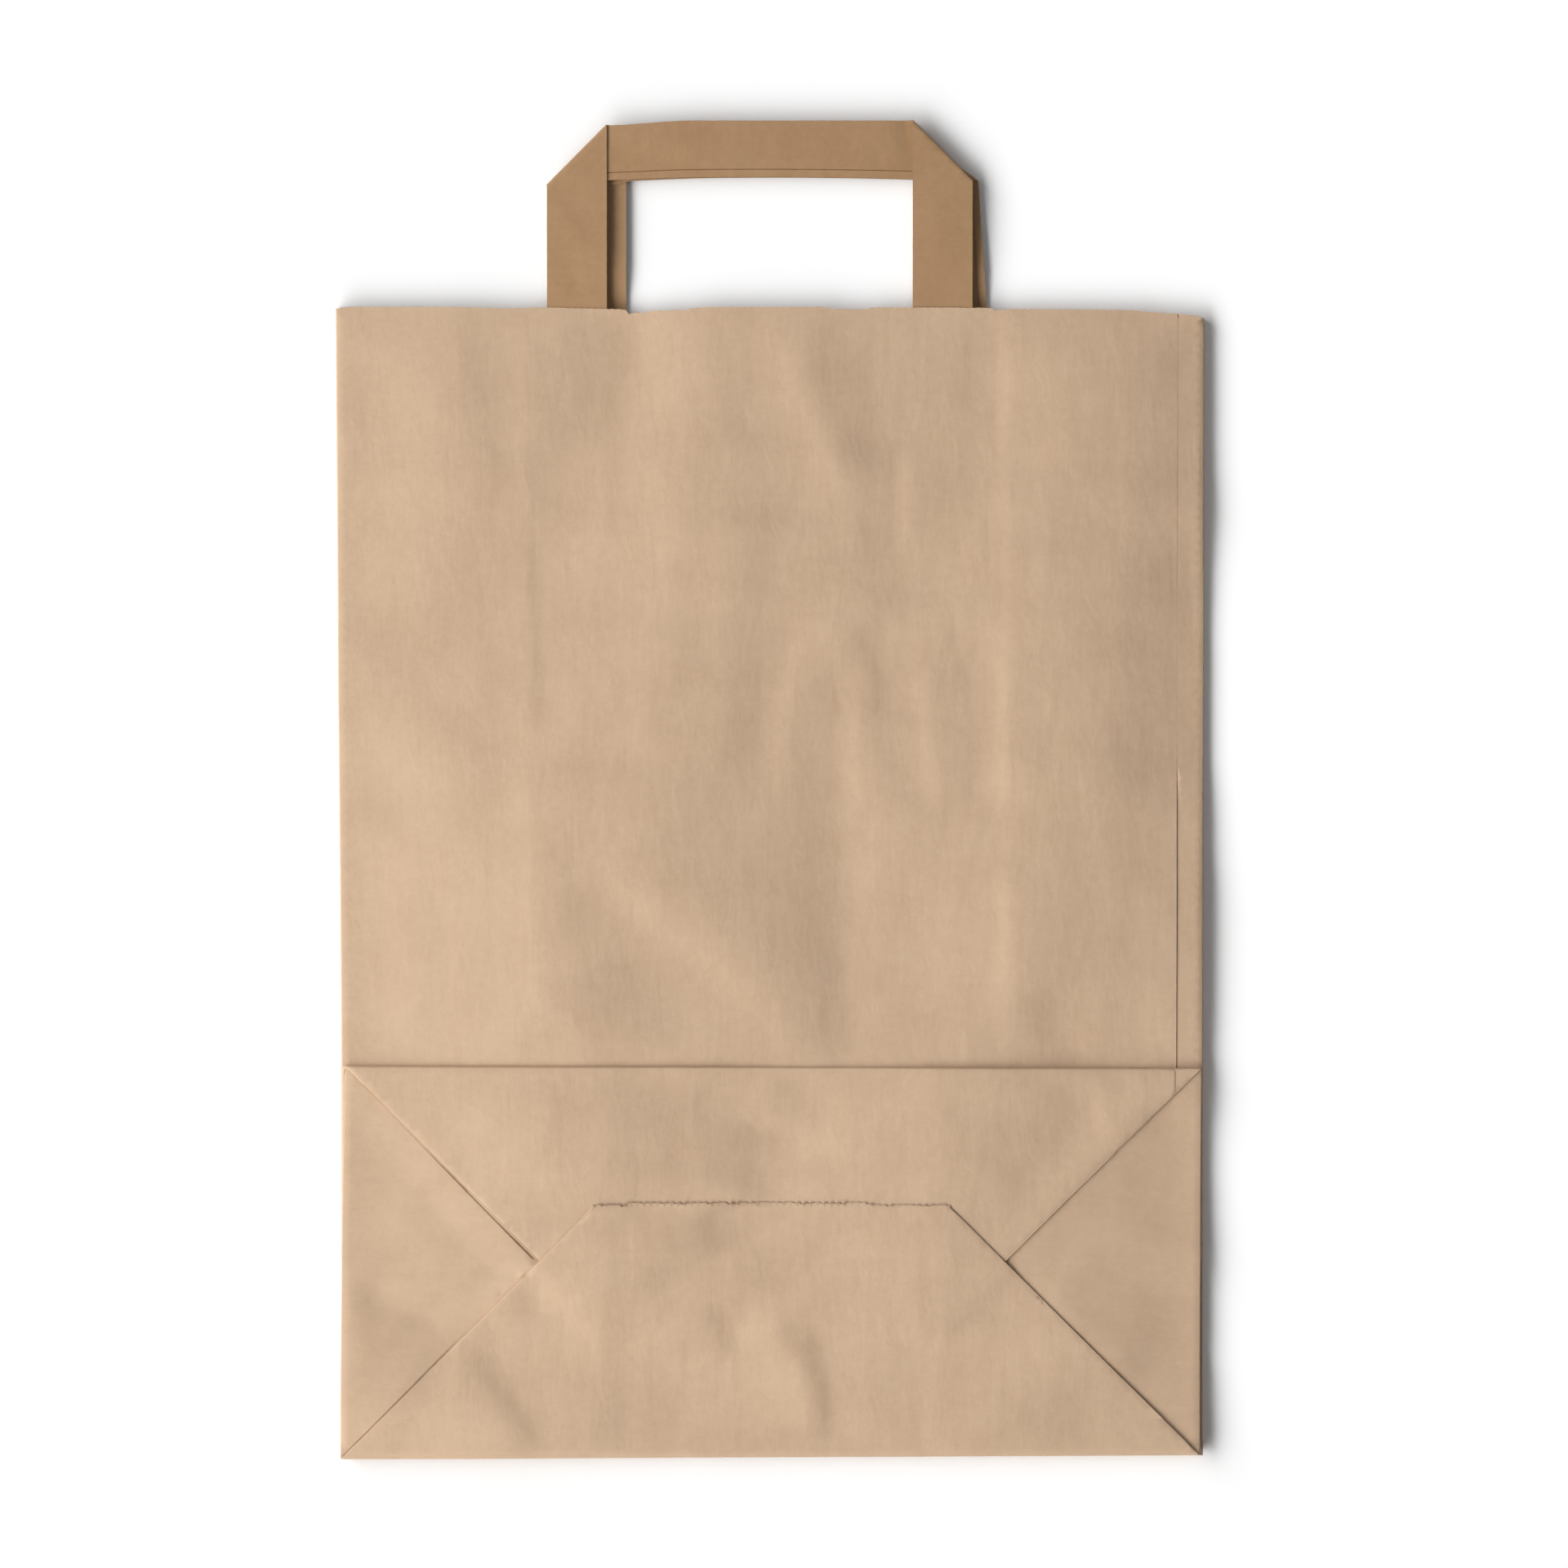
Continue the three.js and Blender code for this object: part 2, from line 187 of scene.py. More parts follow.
# Heights in the turned-up bottom where all layers lie there, and where they lie instead
# between the side flaps, and past the end of the front flap
BETWEEN_SIDE_FLAPS = ([0, 2.6, 3.98, 4.44, 5], [0, 2.6, 3.5, 3.72, 4.28])
SIDE_FLAP_RANGE = (36, 52)
PAST_FRONT_FLAP = ([0, 3.6, 4.21, 4.44, 5], [0, 3.6, 3.70, 3.94, 4.50])
PAST_FLAP_REACH = 10

# Where the seam's raw edge goes from standing proud to lying flush, up the bag and by height
FLUSH_RANGE = (195, 215)
FLUSH_LEVELS = (1.9, 2.15)

# How the left side flap bulges beside the front flap, at the corner and by how much more along
# it, and beside the back flap, with the distances from the bag's left edge
CORNER_BULGE = 0.06
MIDDLE_BULGE = 0.26
MIDDLE_RANGE = (16, 40)
END_BULGE = 0.2
END_RANGE = (44, 56)
BACK_BULGE = 0.35
CROSSING = (28, 39)
BULGE_REACH = 14

# How the back flap's left edge is bevelled, how its right corner stands open, and how the
# teeth of its cut curl up
BEVEL_HEIGHT = 0.34
BEVEL_FADE = 20
OPEN_CORNER = 0.3
OPEN_CORNER_X = (88, 125)
OPEN_CORNER_Y = (8, 40)
TIP_CURL = 0.4
CURL_REACH = 0.9

# How far past its corners the back flap's cut may run, and how near to its own height a layer
# is still taken for itself
CUT_SLACK = 1
LEVEL_SLACK = 0.1

# How far the folds of the side flaps lie in behind the long folds at the bottom and at the
# top of the turned-up bottom
BOTTOM_NEST = 0.9
TOP_NEST = 0.25
NEST_REACH = 8
NEST_CLEAR = 4

# Mesh sizes: the spacing of the points on each kind of layer, and along folds and cut edges
WALL_GRID = 2.0
FLAP_GRID = 2.1
STRIP_GRID = 1.6
HIDDEN_GRID = 7.0
FOLD_GRID = 2.6

# Lines of points round a fold, by whether its radius is above or below that of a small one,
# and how far they stop short of its ends
ROUND_STEPS = 3
SMALL_ROUND_STEPS = 2
SMALL_ROUND = 0.3
ROUND_TRIM = 0.4

# Points nearer than this are made one, and teeth nearer than this to a fold are left out
MERGE = 1e-5
STOP_CLEAR = 0.2

# Lines of points beside the seam, in the grooves and on the bevel, in shares of each one's width
SEAM_LINES = (1, 1.5, 2)
GROOVE_LINES = (0.25, 0.6, 1, 1.3)
BEVEL_LINES = (0.5, 1)

# How far those lines start and end short of the folds and cuts at their ends
LINE_START = 1
SEAM_LINE_END = 4
GROOVE_LINE_END = 1.5
BEVEL_LINE_END = 2

# Edges that bend more than this many degrees are drawn sharp
SHARP_ANGLE = 50

# Toothed cut of the mouth and of the ends of the bottom flaps
TOOTH_PITCH = 2.0
TOOTH_UNEVENNESS = 0.8
TOOTH_SEED = 4
MOUTH_TOOTH = 0.2
FLAP_TOOTH = 0.8

# How the cuts run, as points on the photograph: along the mouth, and along the back flap
MOUTH_CUT = [
    (412, 378.5), (420, 378), (432, 376.5), (560, 376.5), (625, 378.5), (664, 377), (762, 379),
    (766, 379.5), (768, 385), (777, 383.5), (790, 383), (795, 381.5), (840, 380), (850, 377.5),
    (880, 376.5), (1008, 376.5), (1020, 379), (1060, 379.5), (1067, 376.8), (1214, 377.5),
    (1217, 380.5), (1240, 379), (1330, 379.5), (1385, 380.5), (1410, 383), (1440, 385),
    (1462, 387), (1474, 391),
]
FLAP_CUT = [(730, 1473.5), (765, 1473.5), (768, 1470.5), (1065, 1470), (1068, 1473), (1160, 1473)]

# Where the bag's sides run, left and right, on the wall and on the turned-up bottom
WALL_SIDES = ([(412, 378), (415, 840), (419, 1300)], [(1474, 378), (1473, 840), (1472, 1300)])
BLOCK_SIDES = ([(424, 1305), (420, 1500), (418, 1785)], [(1470, 1305), (1469, 1500), (1468, 1785)])

# The shapes of creases: how sharp the top of a crease is, the steepest slope of a ridge of
# unit size, how many of its widths a step fades in, and in what share of its length any ends
CREASE_ROUND = 1.5
RIDGE_SLOPE = 0.858
STEP_FADE = 5
MARK_TAPER = 0.25

# How near to a corner a fold line runs into the height of the folds that meet there
CORNER_REACH = 4.0

# How far in from its sides the bag stays straight, as a share of its half width
STRAIGHT_SHARE = 0.3

# How far from a fold the paper is rubbed pale, how far from the back flap's cut it frays and is
# painted with shadow under its teeth, and how much of its upper half is gone there
WORN_REACH = 0.9
FRAYED_REACH = 0.6
FRAYED_THIN = 1.6

# Where the photograph's pixels fall on the bag
PIXEL = 0.246
PIXEL_X = 945
PIXEL_Y = 1783
PICTURE = 1920

HALF_WIDTH = BAG_WIDTH / 2
HALF_GUSSET = GUSSET_DEPTH / 2

# Across the blank: the edges of its panels, from the raw edge of the front sheet to the tab
S_LEFT = BAG_WIDTH - SEAM_INSET
S_LEFT_FOLD = S_LEFT + HALF_GUSSET
S_BACK = S_LEFT + GUSSET_DEPTH
S_RIGHT = S_BACK + BAG_WIDTH
S_RIGHT_FOLD = S_RIGHT + HALF_GUSSET
S_TAB = S_RIGHT + GUSSET_DEPTH
S_END = S_TAB + SEAM_INSET + SEAM_LAP
SIDE_FLAP_END = HALF_WIDTH - FLAP_LENGTH

# Between the raw edge of the seam and where the tab beside it stands level with it
SEAM_GAP = 0.05

# The width of the groove in the left side flap beside the flaps over it, from where the flap
# is lowest, and the width of the bevel of the back flap's edge
GROOVE_START = 0.1
GROOVE = 0.42
BEVEL = 0.9


def from_pixels(points):
    """Places on the bag of points measured on the photograph."""
    points = np.asarray(points, float).reshape(-1, 2)
    return np.column_stack([
        (points[:, 0] - PIXEL_X) * PIXEL,
        (PIXEL_Y - points[:, 1]) * PIXEL,
    ])


def smooth(low, high, value):
    """0 below low, 1 above high, and a smooth step between them."""
    t = np.clip((value - low) / (high - low), 0, 1)
    return t * t * (3 - 2 * t)


@dataclass
class Mark:
    """How the paper is bent along a line, whose points are pixels of the photograph.

    Each profile is a shape, its width across the line, and the steepest slope that it gives
    the paper. A step rises to the right of the line's direction of travel.
    """
    points: list
    profiles: list

    def height(self, x, y):
        """Height that the mark adds to the paper."""
        line = from_pixels(self.points)
        spans = line[1:] - line[:-1]
        lengths = np.hypot(spans[:, 0], spans[:, 1])
        nearest = np.full(x.shape, FAR)
        along = np.zeros(x.shape)
        weights = np.zeros(x.shape)
        across = np.zeros(x.shape)
        before = 0.0
        for start, span, length in zip(line[:-1], spans, lengths):
            ahead = span / length
            rel_x = x - start[0]
            rel_y = y - start[1]
            t = np.clip(rel_x * ahead[0] + rel_y * ahead[1], 0, length)
            distance = np.hypot(rel_x - t * ahead[0], rel_y - t * ahead[1])
            nearer = distance < nearest
            nearest = np.where(nearer, distance, nearest)
            along = np.where(nearer, before + t, along)
            weight = 1 / (distance ** 2 + 1) ** 2
            weights += weight
            across += weight * (rel_x * ahead[1] - rel_y * ahead[0])
            before += length
        along /= lengths.sum()
        across /= weights
        total = np.zeros(x.shape)
        for shape, width, slope in self.profiles:
            if shape == "ridge":
                profile = np.exp(-(nearest / width) ** 2) / RIDGE_SLOPE
            elif shape == "crease":
                profile = np.exp(-(np.hypot(nearest, CREASE_ROUND) - CREASE_ROUND) / width)
            else:
                fade = np.exp(-(nearest / (STEP_FADE * width)) ** 2)
                profile = np.tanh(across / width) * fade
            total += slope * width * profile
        return total * smooth(0, MARK_TAPER, along) * smooth(0, MARK_TAPER, 1 - along)


# The creases of the front wall. Their lines were drawn over the photograph. The first two
# profiles were set by hand too, and all the others were chosen and worked out by a separate
# program, which fitted them to the photograph's brightness.
WALL_MARKS = [
    Mark([(1229, 340), (1230, 600), (1228, 900), (1229, 1330)], [("step", 1, -0.06)]),
    Mark([(653, 340), (655, 600), (657, 900), (655, 1330)], [("step", 1, 0.05)]),
    Mark([(480, 360), (490, 520), (510, 660)], [("ridge", 12, -0.018), ("step", 12, -0.02)]),
    Mark([(560, 360), (566, 450), (575, 540)], [("crease", 10, 0.042)]),
    Mark([(705, 360), (705, 470), (700, 560)], [("step", 6, 0.051)]),
    Mark([(753, 360), (754, 440), (752, 530)], [("step", 6, 0.035)]),
    Mark([(767, 360), (768, 450), (767, 545)], [("ridge", 12, -0.049)]),
    Mark([(800, 360), (820, 470), (830, 580)], [("step", 12, -0.046)]),
    Mark([(880, 360), (890, 470), (905, 560), (925, 650)], [("step", 6, 0.024)]),
    Mark([(1191, 360), (1192, 500), (1191, 670)], [("step", 3, 0.027), ("crease", 20, -0.033)]),
    Mark([(1405, 360), (1410, 520), (1420, 640)],
         [("step", 6, -0.029), ("ridge", 12, 0.024), ("step", 12, 0.081)]),
    Mark([(574, 365), (588, 464), (602, 520), (609, 580), (602, 650)], [("step", 12, 0.059)]),
    Mark([(930, 365), (965, 450), (1000, 530), (1030, 590), (1050, 690)],
         [("step", 3, -0.038), ("ridge", 6, 0.035), ("ridge", 22, -0.019)]),
    Mark([(984, 365), (1012, 460), (1040, 540), (1062, 620)], [("step", 6, 0.083), ("ridge", 12, 0.053)]),
    Mark([(1229, 365), (1229, 470), (1228, 570)],
         [("step", 1.5, -0.049), ("step", 3, -0.052), ("ridge", 12, -0.015)]),
    Mark([(1290, 365), (1300, 560), (1330, 700), (1350, 820)],
         [("step", 12, -0.043), ("ridge", 22, 0.014)]),
    Mark([(650, 384), (652, 520), (653, 650)], [("ridge", 6, 0.044)]),
    Mark([(1201, 470), (1203, 600), (1203, 720)], [("ridge", 12, 0.026)]),
    Mark([(780, 480), (790, 568), (800, 660)], [("step", 6, -0.046)]),
    Mark([(1360, 480), (1357, 600), (1350, 720)], [("ridge", 6, -0.02)]),
    Mark([(860, 500), (850, 600), (845, 700)],
         [("step", 3, 0.04), ("step", 12, -0.014), ("crease", 20, 0.018)]),
    Mark([(742, 530), (742, 600), (742, 672)], [("ridge", 3, 0.036)]),
    Mark([(1111, 530), (1108, 600), (1106, 680)],
         [("step", 1.5, -0.059), ("step", 3, -0.061), ("step", 12, 0.038)]),
    Mark([(705, 540), (712, 700), (720, 880)], [("step", 12, -0.028), ("ridge", 22, -0.034)]),
    Mark([(470, 560), (480, 680), (500, 760)], [("step", 12, -0.033)]),
    Mark([(912, 990), (914, 847), (921, 740), (928, 640), (925, 560)], [("step", 6, -0.074)]),
    Mark([(1260, 560), (1262, 680), (1265, 800)], [("ridge", 3, -0.031), ("ridge", 12, 0.019)]),
    Mark([(1310, 560), (1330, 680), (1345, 800)], [("ridge", 12, -0.058), ("ridge", 22, 0.065)]),
    Mark([(1360, 600), (1370, 800), (1380, 900), (1400, 1020)], [("step", 6, 0.045)]),
    Mark([(820, 620), (822, 740), (815, 860)], [("ridge", 6, 0.022)]),
    Mark([(990, 620), (985, 700), (975, 770)], [("step", 12, 0.032)]),
    Mark([(1060, 620), (1070, 690), (1080, 760)], [("step", 6, 0.055)]),
    Mark([(1450, 620), (1458, 800), (1464, 940), (1466, 1020)],
         [("step", 3, 0.054), ("ridge", 12, -0.088)]),
    Mark([(520, 640), (530, 760), (560, 860)], [("ridge", 12, 0.016), ("step", 12, 0.018)]),
    Mark([(654, 640), (657, 760), (661, 850), (672, 935)], [("step", 1.5, 0.089)]),
    Mark([(746, 700), (758, 790), (765, 860)], [("step", 12, 0.019)]),
    Mark([(1140, 1008), (1180, 985), (1195, 930), (1185, 860), (1165, 790), (1140, 710)],
         [("step", 1.5, -0.047)]),
    Mark([(950, 1000), (950, 880), (968, 812), (992, 760), (1022, 735)],
         [("step", 3, 0.061), ("ridge", 12, -0.016)]),
    Mark([(410, 740), (470, 800), (530, 870), (600, 920), (655, 950)],
         [("step", 6, 0.055), ("ridge", 22, 0.015)]),
    Mark([(775, 740), (779, 840), (776, 940)], [("step", 3, -0.045), ("ridge", 22, 0.025)]),
    Mark([(1226, 750), (1227, 900), (1226, 1020)],
         [("step", 3, -0.072), ("ridge", 6, 0.025), ("step", 12, -0.061), ("ridge", 22, -0.027)]),
    Mark([(1040, 766), (1064, 798), (1077, 835), (1068, 890)],
         [("step", 1.5, 0.068), ("step", 6, 0.061), ("ridge", 12, -0.033)]),
    Mark([(1046, 795), (1043, 870), (1040, 930), (1046, 1010)],
         [("step", 3, -0.092), ("ridge", 12, -0.042)]),
    Mark([(420, 800), (800, 800), (1200, 800), (1480, 800)], [("ridge", 22, 0.014)]),
    Mark([(1126, 800), (1135, 900), (1145, 1000)], [("step", 3, -0.108), ("ridge", 6, 0.022)]),
    Mark([(985, 980), (982, 890), (995, 840), (1022, 812)], [("step", 3, -0.033)]),
    Mark([(1275, 820), (1280, 950), (1290, 1060)], [("ridge", 6, -0.021)]),
    Mark([(450, 860), (520, 960), (560, 1100)], [("step", 12, -0.042), ("ridge", 22, 0.016)]),
    Mark([(641, 860), (643, 1100), (640, 1310)], [("step", 12, -0.057)]),
    Mark([(1068, 860), (1082, 930), (1105, 985), (1145, 1008)], [("step", 3, 0.044)]),
    Mark([(1290, 880), (1330, 1050), (1350, 1250)], [("ridge", 6, -0.037), ("ridge", 22, 0.047)]),
    Mark([(655, 900), (658, 1100), (662, 1310)], [("crease", 20, 0.039)]),
    Mark([(800, 900), (860, 1000), (930, 1100), (1000, 1220), (1030, 1320)], [("step", 12, 0.028)]),
    Mark([(1024, 920), (1028, 1050), (1032, 1150), (1044, 1330)],
         [("ridge", 3, 0.04), ("crease", 20, -0.102)]),
    Mark([(740, 940), (760, 1000), (790, 1060)], [("step", 12, -0.019), ("ridge", 22, 0.021)]),
    Mark([(1000, 960), (1012, 1100), (1020, 1230)], [("step", 12, 0.033)]),
    Mark([(1080, 960), (1085, 1110), (1095, 1310)], [("ridge", 12, 0.02)]),
    Mark([(480, 1000), (480, 1150), (478, 1310)], [("step", 12, -0.073)]),
    Mark([(540, 1000), (545, 1150), (540, 1310)], [("ridge", 6, -0.017), ("step", 12, -0.032)]),
    Mark([(664, 1000), (700, 1100), (760, 1200), (860, 1320)], [("step", 6, 0.044)]),
    Mark([(700, 1030), (800, 1120), (880, 1180), (960, 1260), (1010, 1320)],
         [("step", 6, -0.102), ("crease", 20, 0.02)]),
    Mark([(1160, 1040), (1170, 1150), (1180, 1310)], [("crease", 20, 0.029)]),
    Mark([(1230, 1040), (1229, 1150), (1228, 1290)],
         [("step", 3, -0.085), ("step", 12, -0.051), ("ridge", 12, 0.044)]),
    Mark([(1400, 1040), (1410, 1150), (1415, 1310)], [("step", 12, -0.052)]),
    Mark([(1100, 1060), (1110, 1150), (1105, 1250)], [("ridge", 12, -0.024)]),
    Mark([(1340, 1060), (1345, 1180), (1350, 1310)], [("ridge", 6, 0.028)]),
    Mark([(700, 1180), (720, 1240), (740, 1315)], [("step", 12, 0.046), ("ridge", 22, 0.017)]),
    Mark([(1264, 1200), (1270, 1250), (1278, 1310)],
         [("step", 6, 0.065), ("ridge", 6, 0.033), ("ridge", 12, -0.03)]),
]

# The creases of the turned-up bottom, made in the same way: the first three profiles were set
# one by one, and the others fitted.
BLOCK_MARKS = [
    Mark([(412, 1557), (520, 1555), (600, 1554), (648, 1564)], [("ridge", 1, -0.25)]),
    Mark([(575, 1554), (620, 1557), (655, 1563), (690, 1566)], [("ridge", 1, -0.35)]),
    Mark([(1400, 1545), (1440, 1543), (1480, 1543)], [("ridge", 1, -0.15)]),
    Mark([(955, 1300), (945, 1360), (935, 1440)], [("step", 12, 0.02), ("ridge", 12, 0.037)]),
    Mark([(880, 1303), (905, 1325), (928, 1345)], [("ridge", 12, -0.015)]),
    Mark([(680, 1310), (690, 1390), (700, 1465)], [("step", 3, 0.031), ("ridge", 22, 0.036)]),
    Mark([(830, 1310), (845, 1390), (855, 1465)], [("step", 3, -0.047), ("step", 12, 0.093)]),
    Mark([(1000, 1310), (985, 1380), (970, 1460)], [("ridge", 12, -0.031)]),
    Mark([(1100, 1310), (1110, 1390), (1115, 1465)], [("step", 6, 0.026), ("ridge", 22, 0.028)]),
    Mark([(1305, 1310), (1300, 1370), (1290, 1430)], [("step", 6, 0.042)]),
    Mark([(1350, 1310), (1355, 1350), (1360, 1390)], [("ridge", 3, 0.059), ("step", 6, -0.029)]),
    Mark([(1400, 1310), (1330, 1380), (1240, 1480)], [("step", 3, -0.038)]),
    Mark([(1430, 1315), (1340, 1420), (1230, 1530)],
         [("ridge", 6, 0.074), ("step", 6, -0.105), ("step", 12, 0.071), ("ridge", 22, -0.013)]),
    Mark([(560, 1330), (580, 1390), (610, 1450)], [("step", 6, -0.024)]),
    Mark([(430, 1340), (470, 1400), (520, 1460)], [("step", 3, -0.041), ("ridge", 12, -0.039)]),
    Mark([(905, 1340), (912, 1400), (918, 1457)], [("step", 6, 0.076)]),
    Mark([(1234, 1340), (1240, 1410), (1248, 1498)], [("step", 12, 0.048)]),
    Mark([(1464, 1340), (1440, 1420), (1420, 1530)], [("ridge", 12, -0.046), ("step", 12, 0.019)]),
    Mark([(939, 1356), (928, 1420), (918, 1470)],
         [("step", 1.5, -0.101), ("step", 3, 0.09), ("ridge", 12, -0.056), ("step", 12, -0.014)]),
    Mark([(440, 1400), (470, 1460), (490, 1540)], [("step", 12, -0.025), ("ridge", 22, -0.017)]),
    Mark([(500, 1440), (550, 1500), (600, 1545)], [("ridge", 6, -0.042)]),
    Mark([(768, 1475), (775, 1520), (782, 1590)], [("step", 3, -0.086), ("step", 12, 0.031)]),
    Mark([(859, 1475), (872, 1510), (885, 1545)],
         [("step", 6, 0.081), ("step", 12, 0.042), ("ridge", 22, -0.016)]),
    Mark([(880, 1475), (884, 1540), (886, 1600)],
         [("ridge", 3, -0.027), ("step", 3, -0.036), ("step", 12, 0.031), ("ridge", 12, 0.024)]),
    Mark([(1090, 1480), (1095, 1560), (1100, 1660)], [("ridge", 12, 0.023), ("step", 12, -0.062)]),
    Mark([(1128, 1480), (1130, 1560), (1137, 1680)], [("step", 1.5, 0.05), ("crease", 4, -0.032)]),
    Mark([(820, 1490), (830, 1580), (840, 1680)], [("step", 6, 0.035)]),
    Mark([(740, 1500), (745, 1580), (760, 1680)], [("ridge", 6, -0.017)]),
    Mark([(795, 1530), (797, 1565), (803, 1600)], [("step", 6, 0.036), ("crease", 20, -0.023)]),
    Mark([(1180, 1530), (1190, 1620), (1200, 1720)], [("ridge", 22, -0.015)]),
    Mark([(640, 1540), (800, 1560), (1000, 1560), (1220, 1540)], [("ridge", 22, 0.024)]),
    Mark([(690, 1540), (700, 1600), (710, 1680)], [("step", 6, -0.025)]),
    Mark([(1280, 1540), (1350, 1600), (1420, 1680)], [("ridge", 6, -0.033), ("ridge", 12, 0.052)]),
    Mark([(1458, 1550), (1460, 1620), (1460, 1700)], [("ridge", 22, -0.023)]),
    Mark([(1476, 1552), (1400, 1556), (1300, 1560)], [("step", 6, 0.023)]),
    Mark([(418, 1560), (500, 1557), (600, 1556), (645, 1559)], [("ridge", 3, 0.062)]),
    Mark([(1400, 1560), (1410, 1620), (1420, 1690)], [("step", 12, 0.017)]),
    Mark([(425, 1566), (456, 1596), (510, 1620), (560, 1640)], [("step", 3, 0.139), ("ridge", 6, -0.034)]),
    Mark([(418, 1575), (500, 1570), (600, 1568), (640, 1568)], [("ridge", 22, -0.018)]),
    Mark([(642, 1568), (646, 1590), (648, 1620)], [("step", 3, 0.068), ("ridge", 6, -0.044)]),
    Mark([(960, 1570), (985, 1600), (1000, 1640)], [("step", 12, -0.011), ("ridge", 12, -0.021)]),
    Mark([(420, 1590), (470, 1625), (540, 1655)],
         [("step", 6, 0.066), ("ridge", 6, -0.042), ("ridge", 22, 0.013)]),
    Mark([(866, 1590), (880, 1630), (900, 1668)], [("step", 3, 0.132), ("ridge", 22, 0.011)]),
    Mark([(930, 1590), (975, 1650), (1000, 1700), (1010, 1760)],
         [("ridge", 1.5, -0.035), ("step", 3, 0.073), ("crease", 20, 0.08)]),
    Mark([(1018, 1600), (1020, 1680), (1022, 1780)], [("step", 12, -0.039)]),
    Mark([(1250, 1600), (1260, 1680), (1280, 1760)], [("ridge", 12, -0.025), ("ridge", 22, 0.044)]),
    Mark([(991, 1610), (1005, 1680), (1016, 1780)], [("step", 3, 0.13), ("ridge", 6, -0.034)]),
    Mark([(567, 1636), (588, 1679), (636, 1735), (668, 1780)],
         [("step", 1.5, 0.044), ("step", 6, 0.107), ("ridge", 22, 0.012)]),
    Mark([(430, 1640), (460, 1690), (470, 1740)], [("step", 12, 0.067), ("ridge", 22, 0.029)]),
    Mark([(590, 1640), (630, 1700), (680, 1780)], [("ridge", 3, -0.03)]),
    Mark([(820, 1660), (830, 1720), (835, 1780)], [("ridge", 6, -0.019), ("step", 12, 0.019)]),
    Mark([(1330, 1670), (1340, 1720), (1345, 1770)],
         [("step", 6, -0.051), ("step", 12, 0.05), ("crease", 20, -0.017)]),
    Mark([(720, 1680), (740, 1730), (760, 1780)], [("step", 12, 0.042)]),
    Mark([(500, 1700), (800, 1700), (1100, 1700), (1400, 1700)], [("ridge", 22, -0.03)]),
    Mark([(430, 1775), (700, 1775), (1000, 1775), (1450, 1775)], [("ridge", 12, 0.037)]),
]

# The creases of the front handle, set one by one
HANDLE_MARKS = [
    Mark([(676, 245), (695, 275), (722, 312)], [("ridge", 3, 0.05)]),
    Mark([(684, 300), (700, 330), (712, 372)], [("ridge", 3, -0.04)]),
    Mark([(1130, 235), (1150, 290), (1160, 350)], [("ridge", 5, 0.03)]),
    Mark([(780, 165), (860, 185), (930, 200)], [("ridge", 4, 0.03)]),
]


def crumple(marks, x, y):
    """Height that a list of marks adds to the paper."""
    height = np.zeros(x.shape)
    for mark in marks:
        height += mark.height(x, y)
    return height


@dataclass
class Face:
    """One flat panel of a blank: its outline there, where it folds to, and its height."""
    name: str
    outline: list
    place: object
    grid: float
    block: bool = False

    @property
    def middle(self):
        """Height of the middle of the paper's thickness."""
        return LIFT[self.name] + SHEET / 2

    def holds(self, s, v, slack=0.01):
        """Which points of the blank lie on the face, or less than the slack outside it."""
        inside = np.ones(s.shape, bool)
        corners = np.array(self.outline, float)
        centre = corners.mean(axis=0)
        for (s0, v0), (s1, v1) in zip(corners, np.roll(corners, -1, axis=0)):
            length = math.hypot(s1 - s0, v1 - v0)
            turn = (s1 - s0) * (centre[1] - v0) - (v1 - v0) * (centre[0] - s0)
            cross = (s1 - s0) * (v - v0) - (v1 - v0) * (s - s0)
            inside &= cross * math.copysign(1, turn) > -slack * length
        return inside


def segment_distance(s, v, start, end):
    """Distance from points to a segment, and how far along it each is nearest."""
    start = np.array(start, float)
    span = np.array(end, float) - start
    length = math.hypot(*span)
    ahead = span / length
    t = np.clip((s - start[0]) * ahead[0] + (v - start[1]) * ahead[1], 0, length)
    return np.hypot(s - start[0] - t * ahead[0], v - start[1] - t * ahead[1]), t


@dataclass
class Fold:
    """A fold line between two faces of a blank."""
    start: tuple
    end: tuple
    first: Face
    second: Face
    start_height: float = None
    end_height: float = None

    @property
    def middle(self):
        return (self.first.middle + self.second.middle) / 2

    @property
    def radius(self):
        return abs(self.first.middle - self.second.middle) / 2

    def height(self, t):
        """Height of the fold line, which runs into that of the corners at its ends."""
        length = math.hypot(self.end[0] - self.start[0], self.end[1] - self.start[1])
        height = np.full(t.shape, self.middle)
        for corner, distance in ((self.start_height, t), (self.end_height, length - t)):
            if corner is not None:
                pull = 1 - smooth(0, CORNER_REACH, distance)
                height = height + (corner - self.middle) * pull
        return height


def find_folds(faces):
    """The fold lines are the edges that two faces share."""
    edges = {}
    for face in faces:
        corners = [tuple(corner) for corner in face.outline]
        for start, end in zip(corners, corners[1:] + corners[:1]):
            edges.setdefault(frozenset((start, end)), []).append((start, end, face))
    folds = []
    for sharing in edges.values():
        if len(sharing) == 2:
            (start, end, first), (_, _, second) = sharing
            folds.append(Fold(start, end, first, second))
    meeting = {}
    for fold in folds:
        for corner in (fold.start, fold.end):
            meeting.setdefault(corner, []).append(fold)
    for corner, joined in meeting.items():
        if len(joined) > 1:
            heights = [f.middle for fold in joined for f in (fold.first, fold.second)]
            middle = (min(heights) + max(heights)) / 2
            for fold in joined:
                if fold.start == corner:
                    fold.start_height = middle
                if fold.end == corner:
                    fold.end_height = middle
    return folds


